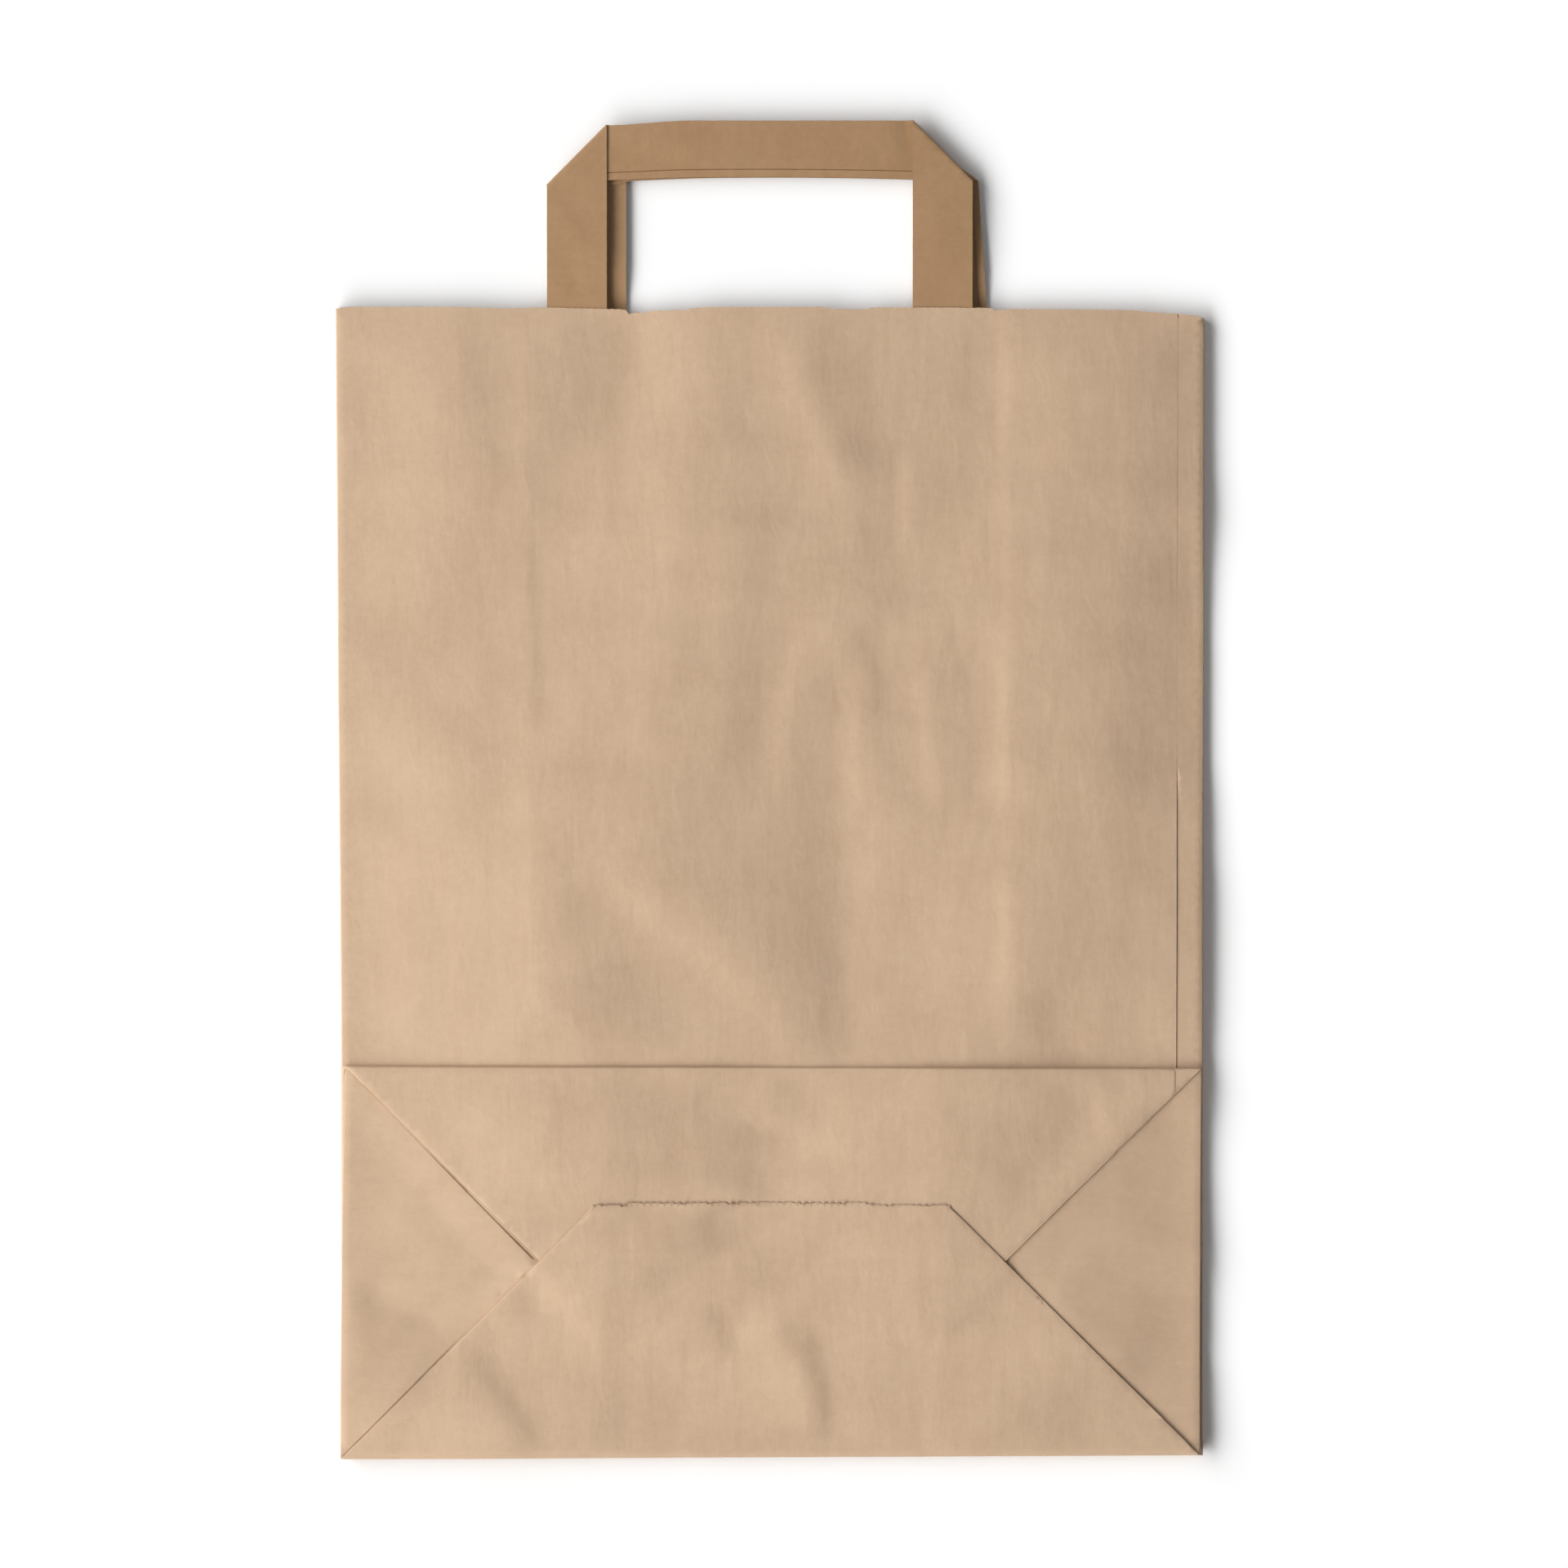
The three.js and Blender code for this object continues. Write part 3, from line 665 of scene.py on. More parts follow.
def bag_faces():
    """The panels of the bag's blank, and where each folds to."""
    top = WALL_HEIGHT
    low = -FLAP_LENGTH
    turn = HALF_GUSSET

    def from_side(side, u):
        return side * (HALF_WIDTH - u)

    def front(s):
        return HALF_WIDTH - SEAM_INSET - s

    def back(s):
        return s - S_BACK - HALF_WIDTH

    faces = [
        Face("front_wall", [(0, turn), (S_LEFT, turn), (S_LEFT, top), (0, top)],
             lambda s, v: (front(s), v), WALL_GRID),
        Face("front_turn_up", [(0, 0), (S_LEFT, 0), (S_LEFT, turn), (0, turn)],
             lambda s, v: (front(s), GUSSET_DEPTH - v), HIDDEN_GRID, True),
        Face("front_flap", [(0, 0), (0, -SEAM_INSET), (FLAP_LENGTH - SEAM_INSET, low),
                            (S_LEFT - FLAP_LENGTH, low), (S_LEFT, 0)],
             lambda s, v: (front(s), GUSSET_DEPTH + v), FLAP_GRID, True),
        Face("front_tuck", [(S_LEFT, 0), (S_LEFT - FLAP_LENGTH, low), (S_LEFT, low)],
             lambda s, v: (from_side(-1, -v), GUSSET_DEPTH - (S_LEFT - s)), HIDDEN_GRID, True),
        Face("front_tuck", [(0, -SEAM_INSET), (0, low), (FLAP_LENGTH - SEAM_INSET, low)],
             lambda s, v: (from_side(1, -v), GUSSET_DEPTH - SEAM_INSET - s), HIDDEN_GRID, True),
        Face("back_wall", [(S_BACK, 0), (S_RIGHT, 0), (S_RIGHT, top), (S_BACK, top)],
             lambda s, v: (back(s), v), 3 * WALL_GRID),
        Face("back_flap", [(S_BACK, 0), (S_BACK + FLAP_LENGTH, low),
                           (S_RIGHT - FLAP_LENGTH, low), (S_RIGHT, 0)],
             lambda s, v: (back(s), -v), FLAP_GRID, True),
        Face("back_tuck", [(S_BACK, 0), (S_BACK, low), (S_BACK + FLAP_LENGTH, low)],
             lambda s, v: (from_side(-1, -v), s - S_BACK), HIDDEN_GRID, True),
        Face("back_tuck", [(S_RIGHT, 0), (S_RIGHT - FLAP_LENGTH, low), (S_RIGHT, low)],
             lambda s, v: (from_side(1, -v), S_RIGHT - s), HIDDEN_GRID, True),
    ]
    gussets = [(-1, S_LEFT, S_LEFT_FOLD, S_BACK), (1, S_TAB, S_RIGHT_FOLD, S_RIGHT)]
    for side, edge, inner, rear in gussets:
        faces += [
            Face("front_gusset", [(edge, turn), (inner, turn), (inner, top), (edge, top)],
                 lambda s, v, side=side, edge=edge: (from_side(side, abs(s - edge)), v),
                 HIDDEN_GRID),
            Face("back_gusset", [(inner, turn), (rear, 0), (rear, top), (inner, top)],
                 lambda s, v, side=side, rear=rear: (from_side(side, abs(s - rear)), v),
                 HIDDEN_GRID),
            Face("gusset_turn_up", [(edge, 0), (inner, turn), (edge, turn)],
                 lambda s, v, side=side, edge=edge: (from_side(side, abs(s - edge)),
                                                     GUSSET_DEPTH - v), HIDDEN_GRID, True),
            Face("base_corner", [(edge, 0), (rear, 0), (inner, turn)],
                 lambda s, v, side=side, rear=rear: (from_side(side, v), abs(s - rear)),
                 HIDDEN_GRID, True),
            Face("side_flap", [(edge, low), (rear, low), (rear, 0), (edge, 0)],
                 lambda s, v, side=side, rear=rear: (from_side(side, -v), abs(s - rear)),
                 FLAP_GRID, True),
        ]
    wide = S_END - S_TAB
    faces += [
        Face("tab_wall", [(S_TAB, turn), (S_END, turn), (S_END, top), (S_TAB, top)],
             lambda s, v: (from_side(1, s - S_TAB), v), WALL_GRID),
        Face("tab_turn_up", [(S_TAB, 0), (S_END, 0), (S_END, turn), (S_TAB, turn)],
             lambda s, v: (from_side(1, s - S_TAB), GUSSET_DEPTH - v), HIDDEN_GRID, True),
        Face("tab_flap", [(S_TAB, 0), (S_END, -wide), (S_END, 0)],
             lambda s, v: (from_side(1, s - S_TAB), GUSSET_DEPTH + v), FLAP_GRID, True),
        Face("tab_tuck", [(S_TAB, 0), (S_TAB, low), (S_END, low), (S_END, -wide)],
             lambda s, v: (from_side(1, -v), GUSSET_DEPTH - (s - S_TAB)), HIDDEN_GRID, True),
    ]
    return faces


def nested(face, x, y):
    """Pulls the folds of the side flaps in behind the long folds that go round them."""
    if face.name != "side_flap" and not face.name.endswith("tuck"):
        return y
    u = HALF_WIDTH - np.abs(x)
    for room, near, inward in ((BOTTOM_NEST, y, 1), (TOP_NEST, GUSSET_DEPTH - y, -1)):
        clear = (u if face.name == "side_flap" else u - near) / math.sqrt(2)
        freed = 1 - np.exp(-(clear / NEST_CLEAR) ** 2)
        pull = room * np.clip(1 - near / NEST_REACH, 0, 1) ** 2 * freed
        y = y + inward * pull
    return y


def hex_grid(face, spacing):
    """Points in rows over a face, fewer of them where the front wall lies behind the bottom."""
    corners = np.array(face.outline, float)
    (s0, v0), (s1, v1) = corners.min(axis=0), corners.max(axis=0)
    rows = np.arange(v0, v1, spacing * math.sqrt(3) / 2)
    columns = np.arange(s0, s1, spacing)
    s, v = np.meshgrid(columns, rows)
    s = s + np.where(np.arange(len(rows)) % 2, spacing / 2, 0)[:, None]
    keep = face.holds(s.ravel(), v.ravel(), -0.5 * spacing)
    if face.name == "front_wall":
        row, column = np.indices(s.shape)
        spared = (v < GUSSET_DEPTH - BEHIND_BLOCK) & ((row % 2 > 0) | (column % 2 > 0))
        keep &= ~spared.ravel()
    return np.column_stack([s.ravel()[keep], v.ravel()[keep]])


def split_line(start, end, spacing):
    """Points along a line, ends included."""
    length = math.hypot(end[0] - start[0], end[1] - start[1])
    count = max(1, round(length / spacing))
    return np.linspace(start, end, count + 1)


def inset_lines(fold, face_centre):
    """Lines beside a fold, on the side of a point, where its round is bent."""
    start = np.array(fold.start, float)
    end = np.array(fold.end, float)
    ahead = (end - start) / np.hypot(*(end - start))
    aside = np.array([-ahead[1], ahead[0]])
    if np.dot(np.asarray(face_centre) - start, aside) < 0:
        aside = -aside
    steps = ROUND_STEPS if fold.radius > SMALL_ROUND else SMALL_ROUND_STEPS
    for k in range(1, steps + 1):
        offset = fold.radius * (1 - math.cos(k * math.pi / 2 / steps))
        yield (start + ahead * ROUND_TRIM + aside * offset, end - ahead * ROUND_TRIM + aside * offset)


def mesh_blank(faces, folds, rims, extra=()):
    """The points and triangles of a flat blank, with its folds, rims and extra lines in them."""
    points = []
    edges = []

    def add_line(line):
        first = len(points)
        points.extend(map(tuple, line))
        edges.extend((i, i + 1) for i in range(first, first + len(line) - 1))

    for rim in rims:
        add_line(rim)
    for fold in folds:
        add_line(split_line(fold.start, fold.end, FOLD_GRID))
        for face in (fold.first, fold.second):
            centre = np.mean(np.array(face.outline, float), axis=0)
            for start, end in inset_lines(fold, centre):
                add_line(split_line(start, end, FOLD_GRID))
    for start, end in extra:
        add_line(split_line(start, end, FOLD_GRID))
    for face in faces:
        points.extend(map(tuple, hex_grid(face, face.grid)))
    vectors = [Vector(point) for point in points]
    meshed, _, corners, *_ = delaunay_2d_cdt(vectors, edges, [], 0, MERGE)
    flat = np.array([tuple(point) for point in meshed], float)
    triangles = np.array([tuple(three) for three in corners], int)
    return flat, triangles


def fold_up(faces, folds, flat):
    """Where each point of a flat blank goes when it is folded, whether it is in the turned-up
    bottom, and how far it is from a fold."""
    s, v = flat.T
    folded = np.zeros((len(flat), 3))
    block = np.zeros(len(flat), bool)
    near_fold = np.full(len(flat), FAR)
    for face in faces:
        held = face.holds(s, v)
        x, y = face.place(s[held], v[held])
        y = nested(face, x, y)
        weight = np.ones(y.shape)
        total = np.full(y.shape, face.middle)
        closest = np.full(y.shape, FAR)
        for fold in folds:
            if face is not fold.first and face is not fold.second:
                continue
            distance, t = segment_distance(s[held], v[held], fold.start, fold.end)
            inward = np.clip(1 - distance / fold.radius, 0, 1)
            bend = 1 - np.sqrt(np.clip(1 - inward ** 2, 0, 1))
            pull = bend / np.maximum(1 - bend, LEAST_BEND)
            total += pull * fold.height(t)
            weight += pull
            closest = np.minimum(closest, distance)
        folded[held] = np.column_stack([x, y, total / weight])
        near_fold[held] = np.minimum(near_fold[held], closest)
        block[held] = face.block
    return folded, block, near_fold


def vertex_normals(points, triangles):
    """The direction that the surface faces at each point."""
    corners = points[triangles]
    normals = np.cross(corners[:, 1] - corners[:, 0], corners[:, 2] - corners[:, 0])
    totals = np.zeros(points.shape)
    for k in range(3):
        np.add.at(totals, triangles[:, k], normals)
    return totals / np.maximum(np.linalg.norm(totals, axis=1), LEAST_AREA)[:, None]


def thicken(points, triangles, over, under):
    """A closed shell round a surface, with its own thickness on each side."""
    normals = vertex_normals(points, triangles)
    count = len(points)
    shell = np.vstack([points + normals * over[:, None], points - normals * under[:, None]])
    edges = {}
    for triangle in triangles:
        for a, b in zip(triangle, np.roll(triangle, -1)):
            edges[(a, b)] = True
    rim = [(a, b) for a, b in edges if (b, a) not in edges]
    walls = [(b, a, a + count, b + count) for a, b in rim]
    return shell, triangles.tolist(), (triangles[:, ::-1] + count).tolist() + walls


def make_piece(name, points, faces, layout, values=None):
    """A Blender object from points in millimetres, with the blank's layout as its UV map."""
    points = np.asarray(points) - (0, (WALL_HEIGHT + HANDLE_RISE) / 2, 0)
    mesh = bpy.data.meshes.new(name)
    mesh.from_pydata((points * MM).tolist(), [], faces)
    uv_map = mesh.uv_layers.new(name="Blank")
    corner_points = np.zeros(len(mesh.loops), int)
    mesh.loops.foreach_get("vertex_index", corner_points)
    uv_map.data.foreach_set("uv", (layout[corner_points] * MM).ravel())
    for key, value in (values or {}).items():
        attribute = mesh.attributes.new(key, "FLOAT", "POINT")
        attribute.data.foreach_set("value", value.astype(np.float32))
    mesh.polygons.foreach_set("use_smooth", [True] * len(mesh.polygons))
    mesh.set_sharp_from_angle(angle=math.radians(SHARP_ANGLE))
    mesh.validate()
    piece = bpy.data.objects.new(name, mesh)
    bpy.context.scene.collection.objects.link(piece)
    return piece


class Value:
    """A number or colour in a node tree: arithmetic on it adds the nodes that work it out."""

    def __init__(self, tree, socket):
        self.tree = tree
        self.socket = socket

    def maths(self, operation, *others, after=False):
        """A Math node on this value and others, which come first if this one is after them."""
        terms = (*others, self) if after else (self, *others)
        return self.tree.node("ShaderNodeMath", {"operation": operation}, dict(enumerate(terms)))

    def __add__(self, other):
        return self.maths("ADD", other)

    def __sub__(self, other):
        return self.maths("SUBTRACT", other)

    def __rsub__(self, other):
        return self.maths("SUBTRACT", other, after=True)

    def __mul__(self, other):
        return self.maths("MULTIPLY", other)

    def __truediv__(self, other):
        return self.maths("DIVIDE", other)

    def __rtruediv__(self, other):
        return self.maths("DIVIDE", other, after=True)

    __radd__ = __add__
    __rmul__ = __mul__


class NodeTree:
    """A node tree, with one method that adds any node."""

    def __init__(self, tree):
        self.tree = tree

    def node(self, kind, settings=None, inputs=None, output=0):
        """A new node, with its settings and the values or links of its sockets."""
        node = self.tree.nodes.new(kind)
        for key, value in (settings or {}).items():
            setattr(node, key, value)
        for key, value in (inputs or {}).items():
            socket = node.inputs[key]
            if isinstance(value, Value):
                self.tree.links.new(value.socket, socket)
            else:
                socket.default_value = value
        return Value(self, node.outputs[output]) if len(node.outputs) else None

    def seen(self):
        """1 on the rays that show a surface: the camera's, and those of gloss and of glass."""
        camera, gloss, glass = (
            self.node("ShaderNodeLightPath", output=f"Is {kind} Ray")
            for kind in ("Camera", "Glossy", "Transmission"))
        return camera.maths("MAXIMUM", gloss).maths("MAXIMUM", glass)


class Material(NodeTree):
    """The node tree of a new material."""

    def __init__(self, name):
        self.material = bpy.data.materials.new(name)
        self.material.use_nodes = True
        super().__init__(self.material.node_tree)
        self.tree.nodes.clear()

    def noise(self, vector, scale, detail=2.0, roughness=0.5, distortion=0.0):
        """A cloudy pattern from 0 to 1."""
        return self.node("ShaderNodeTexNoise", {}, {
            "Vector": vector, "Scale": scale, "Detail": detail, "Roughness": roughness,
            "Distortion": distortion,
        })

    def stretched(self, vector, scale, turn=0.0):
        """Coordinates scaled along each axis and turned in the sheet."""
        return self.node("ShaderNodeMapping", {}, {
            "Vector": vector, "Scale": scale, "Rotation": (0, 0, turn),
        })

    def ramp(self, value, low, high):
        """0 below low, 1 above high, and a smooth step between them."""
        return self.node("ShaderNodeMapRange", {"interpolation_type": "SMOOTHSTEP"}, {
            "Value": value, "From Min": low, "From Max": high, "To Min": 0.0, "To Max": 1.0,
        })

    def mix(self, amount, first, second):
        """A colour between the first and the second."""
        return self.node("ShaderNodeMix", {"data_type": "RGBA"}, {
            0: amount, 6: first, 7: second,
        }, output=2)


def knife_tree():
    """A node tree that draws the line cut by a toothed knife."""
    tree = NodeTree(bpy.data.node_groups.new("Knife cut", "GeometryNodeTree"))
    for name, kind in (("Length", "Float"), ("Pitch", "Float"), ("Unevenness", "Float"),
                       ("Seed", "Int"), ("Material", "Material")):
        tree.tree.interface.new_socket(name, in_out="INPUT", socket_type=f"NodeSocket{kind}")
    tree.tree.interface.new_socket("Geometry", in_out="OUTPUT",
                                   socket_type="NodeSocketGeometry")
    inputs = tree.tree.nodes.new("NodeGroupInput")
    length, pitch, unevenness, seed, material = (
        Value(tree, socket) for socket in list(inputs.outputs)[:5])
    half = pitch * 0.5
    line = tree.node("GeometryNodeMeshLine", {"mode": "OFFSET"}, {
        "Count": length / half + 1,
        "Offset": tree.node("ShaderNodeCombineXYZ", {}, {"X": half}),
    })
    index = tree.node("GeometryNodeInputIndex")
    depth = tree.node("FunctionNodeRandomValue", {"data_type": "FLOAT"}, {
        2: 1 - unevenness, 3: 1.0, "ID": index, "Seed": seed,
    }, output=1)
    tooth = index.maths("MODULO", 2.0) * depth
    cut = tree.node("GeometryNodeSetPosition", {}, {
        "Geometry": line,
        "Offset": tree.node("ShaderNodeCombineXYZ", {}, {"Y": tooth}),
    })
    whole = tree.node("GeometryNodeRealizeInstances", {}, {"Geometry": cut})
    done = tree.node("GeometryNodeSetMaterial", {}, {"Geometry": whole, "Material": material})
    tree.node("NodeGroupOutput", {}, {"Geometry": done})
    return tree.tree


def knife_teeth(length, pitch, unevenness, seed):
    """Where the teeth of a knife fall along a cut, and how deep each is from 0 to 1."""
    tree = knife_tree()
    holder = bpy.data.objects.new("knife cut", bpy.data.meshes.new("knife cut"))
    bpy.context.scene.collection.objects.link(holder)
    modifier = holder.modifiers.new("Knife cut", "NODES")
    modifier.node_group = tree
    values = {"Length": length, "Pitch": pitch, "Unevenness": unevenness, "Seed": seed}
    for socket in tree.interface.items_tree:
        if socket.name in values:
            modifier[socket.identifier] = values[socket.name]
    depsgraph = bpy.context.evaluated_depsgraph_get()
    mesh = bpy.data.meshes.new_from_object(holder.evaluated_get(depsgraph))
    points = np.array([tuple(vertex.co) for vertex in mesh.vertices])
    bpy.data.objects.remove(holder)
    bpy.data.meshes.remove(mesh)
    return points[:, 0], points[:, 1]


TEETH = knife_teeth(S_END, TOOTH_PITCH, TOOTH_UNEVENNESS, TOOTH_SEED)


def cut_across(level, stops, depth):
    """A cut across the blank, toothed by depth(s), with a point at each of the stops."""
    places = [s for s in TEETH[0]
              if 0 < s < S_END and min(abs(s - stop) for stop in stops) > STOP_CLEAR]
    s = np.array(sorted({0.0, S_END, *places, *stops}))
    return np.column_stack([s, level + depth(s)])


def mouth_depth(s):
    """How the mouth's cut dips below its highest point, and its teeth."""
    edges = [0, S_LEFT, S_LEFT_FOLD, S_BACK, S_RIGHT, S_RIGHT_FOLD, S_TAB, S_END]
    inner = HALF_WIDTH - HALF_GUSSET
    folded = [HALF_WIDTH - SEAM_INSET, -HALF_WIDTH, -inner, -HALF_WIDTH, HALF_WIDTH, inner,
              HALF_WIDTH, HALF_WIDTH - (S_END - S_TAB)]
    x, y = from_pixels(MOUTH_CUT).T
    run = np.interp(np.interp(s, edges, folded), x, y) - WALL_HEIGHT
    return np.minimum(run, 0) - MOUTH_TOOTH * np.interp(s, *TEETH)


def flap_depth(s):
    """How the cut at the ends of the bottom flaps runs in from its furthest, and its teeth."""
    x, y = from_pixels(FLAP_CUT).T
    run = FLAP_LENGTH - np.interp(s - S_BACK - HALF_WIDTH, x, y)
    return np.maximum(run, 0) + FLAP_TOOTH * np.interp(s, *TEETH)


def sharp_lines():
    """Lines on the blank where the paper bends within a narrow width: beside the seam, in the
    grooves beside the left side flap's edges, and on the bevel of the back flap's left edge."""
    lines = []
    for step in SEAM_LINES:
        s = S_TAB + SEAM_INSET - step * SEAM_GAP
        lines.append(((s, HALF_GUSSET + LINE_START), (s, WALL_HEIGHT - SEAM_LINE_END)))
    across = HALF_GUSSET - GROOVE_LINE_END
    for step in GROOVE_LINES:
        aside = step * GROOVE * math.sqrt(2)
        front = S_LEFT + aside
        back = S_BACK - aside
        lines.append(((front + LINE_START, -LINE_START), (front + across, -across)))
        lines.append(((back - LINE_START, -LINE_START), (back - across, -across)))
    across = FLAP_LENGTH - BEVEL_LINE_END
    for step in BEVEL_LINES:
        s = S_BACK + step * BEVEL * math.sqrt(2)
        lines.append(((s + LINE_START, -LINE_START), (s + across, -across)))
    return lines


def bag_mesh():
    """The bag's blank, meshed and folded: see fold_up."""
    faces = bag_faces()
    folds = find_folds(faces)
    low_stops = sorted({corner[0] for fold in folds for corner in (fold.start, fold.end)})
    top_stops = [S_LEFT, S_LEFT_FOLD, S_BACK, S_RIGHT, S_RIGHT_FOLD, S_TAB]
    top = cut_across(WALL_HEIGHT, top_stops, mouth_depth)
    low = cut_across(-FLAP_LENGTH, low_stops, flap_depth)

    def on_cut(corner):
        s, v = corner
        if v == WALL_HEIGHT:
            v = np.interp(s, *top.T)
        elif v == -FLAP_LENGTH:
            v = np.interp(s, *low.T)
        return s, v

    for fold in folds:
        fold.start = on_cut(fold.start)
        fold.end = on_cut(fold.end)
    sides = [
        split_line((s, bottom), (s, mouth), FOLD_GRID)
        for s, bottom, mouth in ((0, low[0, 1], top[0, 1]), (S_END, low[-1, 1], top[-1, 1]))
    ]
    flat, triangles = mesh_blank(faces, folds, [top, low, *sides], sharp_lines())
    centre_s, centre_v = flat[triangles].mean(axis=1).T
    inside = (centre_v < np.interp(centre_s, *top.T)) & (centre_v > np.interp(centre_s, *low.T))
    folded, block, near_fold = fold_up(faces, folds, flat)
    return flat, triangles[inside], folded, block, near_fold


def at_back_cut(s, v):
    """1 at the back flap's cut, fading away from it."""
    on_back_flap = np.abs(s - S_BACK - HALF_WIDTH) < SIDE_FLAP_END + CUT_SLACK
    return on_back_flap * np.exp(-((v - flap_depth(s) + FLAP_LENGTH) / FRAYED_REACH) ** 2)


def tooth_tips(s):
    """How far the tip of each tooth stands out between the notches beside it."""
    return np.interp(s, TEETH[0], np.roll(TEETH[1], 1))


def side_shift(x, y, sides):
    """How far the bag's sides wander from straight, at each height up it."""
    left, right = (from_pixels(line)[::-1].T for line in sides)
    at_left = np.interp(y, left[1], left[0]) + HALF_WIDTH
    at_right = np.interp(y, right[1], right[0]) - HALF_WIDTH
    share = smooth(STRAIGHT_SHARE * HALF_WIDTH, HALF_WIDTH, np.abs(x))
    return np.where(x < 0, at_left, at_right) * share


def lie_together(x, y, z, block):
    """Presses the layers together where there are fewer of them, or where they are glued."""
    level = z
    few = np.interp(z, *BETWEEN_SIDE_FLAPS)
    z = z + np.where(block, (few - z) * (1 - smooth(*SIDE_FLAP_RANGE, np.abs(x))), 0)
    few = np.interp(z, *PAST_FRONT_FLAP)
    past_front_flap = GUSSET_DEPTH - FLAP_LENGTH - y + np.maximum(np.abs(x) - SIDE_FLAP_END, 0)
    z = z + np.where(block, (few - z) * smooth(0, PAST_FLAP_REACH, past_front_flap), 0)
    seam = HALF_WIDTH - SEAM_INSET
    flush = smooth(seam + SEAM_GAP, seam + 2 * SEAM_GAP, x) * smooth(*FLUSH_RANGE, y)
    flush *= smooth(*FLUSH_LEVELS, z)
    z = z + np.where(block, 0, (SHEET + TAB_GAP) * flush)
    return z + np.where(block, stand_off(x, y, level), 0)


def stand_off(x, y, level):
    """How the layers of the bottom stand off each other beside and along the flaps' edges."""
    left = HALF_WIDTH + x
    past_crossing = smooth(*CROSSING, left)
    in_side_flap = np.exp(-((level - LIFT["side_flap"] - SHEET / 2) / LEVEL_SLACK) ** 2)
    in_back_flap = smooth(LIFT["back_tuck"] + SHEET, LIFT["back_flap"] + SHEET / 2, level)
    beside_front = (GUSSET_DEPTH - y - left) / math.sqrt(2)
    beside_back = (y - left) / math.sqrt(2)
    bulge = CORNER_BULGE + MIDDLE_BULGE * smooth(*MIDDLE_RANGE, left)
    bulge = (bulge + END_BULGE * smooth(*END_RANGE, left)) * groove_side(beside_front)
    bulge += BACK_BULGE * (1 - past_crossing) * groove_side(beside_back)
    height = np.where(x < 0, bulge * in_side_flap, 0)
    inside = -beside_back
    bevel = BEVEL_HEIGHT * smooth(0, BEVEL, inside) * np.exp(-np.maximum(inside, 0) / BEVEL_FADE)
    height += bevel * in_back_flap * past_crossing * (x < 0)
    open_corner = OPEN_CORNER * smooth(*OPEN_CORNER_X, x) * (1 - smooth(*OPEN_CORNER_Y, y))
    height += open_corner * smooth(LIFT["front_flap"], LIFT["back_tuck"], level)
    tips = tooth_tips(x + S_BACK + HALF_WIDTH)
    curl = TIP_CURL * tips ** 2 * np.exp(-((FLAP_LENGTH - y) / CURL_REACH) ** 2)
    return height + curl * in_back_flap * (np.abs(x) < SIDE_FLAP_END + CUT_SLACK)


def groove_side(beside):
    """A layer that stands level with the edge of the flap beside it, but for a narrow groove."""
    return smooth(GROOVE_START, GROOVE, beside) * (1 - smooth(GROOVE, BULGE_REACH, beside))


def settle(points, block):
    """Lays the folded layers over what is under them, with the creases of use."""
    x, y, z = points.T
    on_block = crumple(BLOCK_MARKS, x, y)
    on_wall = crumple(WALL_MARKS, x, y)
    above = smooth(GUSSET_DEPTH - BEHIND_BLOCK, GUSSET_DEPTH, y)
    over_fold = OVER_FOLD + OVER_FOLD_SLOPE * np.maximum(y - GUSSET_DEPTH, 0)
    difference = np.minimum(on_wall - on_block, over_fold)
    edge = np.minimum(HALF_WIDTH - np.abs(x), np.minimum(WALL_HEIGHT - y, y))
    puff = PUFF * (LOW_PUFF + (1 - LOW_PUFF) * smooth(*PUFF_RANGE, y)) * smooth(0, PUFF_EDGE, edge)
    height = on_block + np.where(block, 0, difference * above) + puff
    share = np.clip(z / LIFT["front_wall"], 0, 1)
    wall_shift = side_shift(x, y, WALL_SIDES)
    block_shift = side_shift(x, y, BLOCK_SIDES)
    new_x = x + wall_shift + (block_shift - wall_shift) * smooth(*TURNED_UP, z)
    tilt = BOTTOM_SKEW * x / HALF_WIDTH * (1 - smooth(0, SKEW_REACH, y))
    sag = FOLD_SAG + SAG_SKEW * x / HALF_WIDTH
    sag = sag * np.exp(-((y - GUSSET_DEPTH) / SAG_REACH) ** 2)
    pressed = lie_together(x, y, z, block)
    on_top = np.maximum(pressed - FRONT_TOP, 0)
    lofty = WALL_LOFT * (pressed - on_top) + BLOCK_LOFT * on_top
    return np.column_stack([new_x, y + tilt - sag, lofty + height * share])


def make_bag():
    """The bag, as one closed shell of paper folded from its blank."""
    flat, triangles, folded, block, near_fold = bag_mesh()
    settled = settle(folded, block)
    half = np.full(len(flat), SHEET / 2)
    frayed_and_shaded = at_back_cut(*flat.T)
    shell, inner, outer = thicken(settled, triangles, half * (1 - FRAYED_THIN * frayed_and_shaded), half)
    bag = make_piece("paper_bag", shell, inner + outer, np.vstack([flat, flat]), {
        "worn": np.tile(np.exp(-(near_fold / WORN_REACH) ** 2), 2),
        # Painted shadow under the teeth of the back flap's cut, where their curled tips would shade the
        # paper
        "nick_shadow": np.tile(frayed_and_shaded * tooth_tips(flat[:, 0]), 2),
    })
    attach(bag, "root")
    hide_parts("bag_body")
    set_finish(bag, "kraft_body")


make_bag()


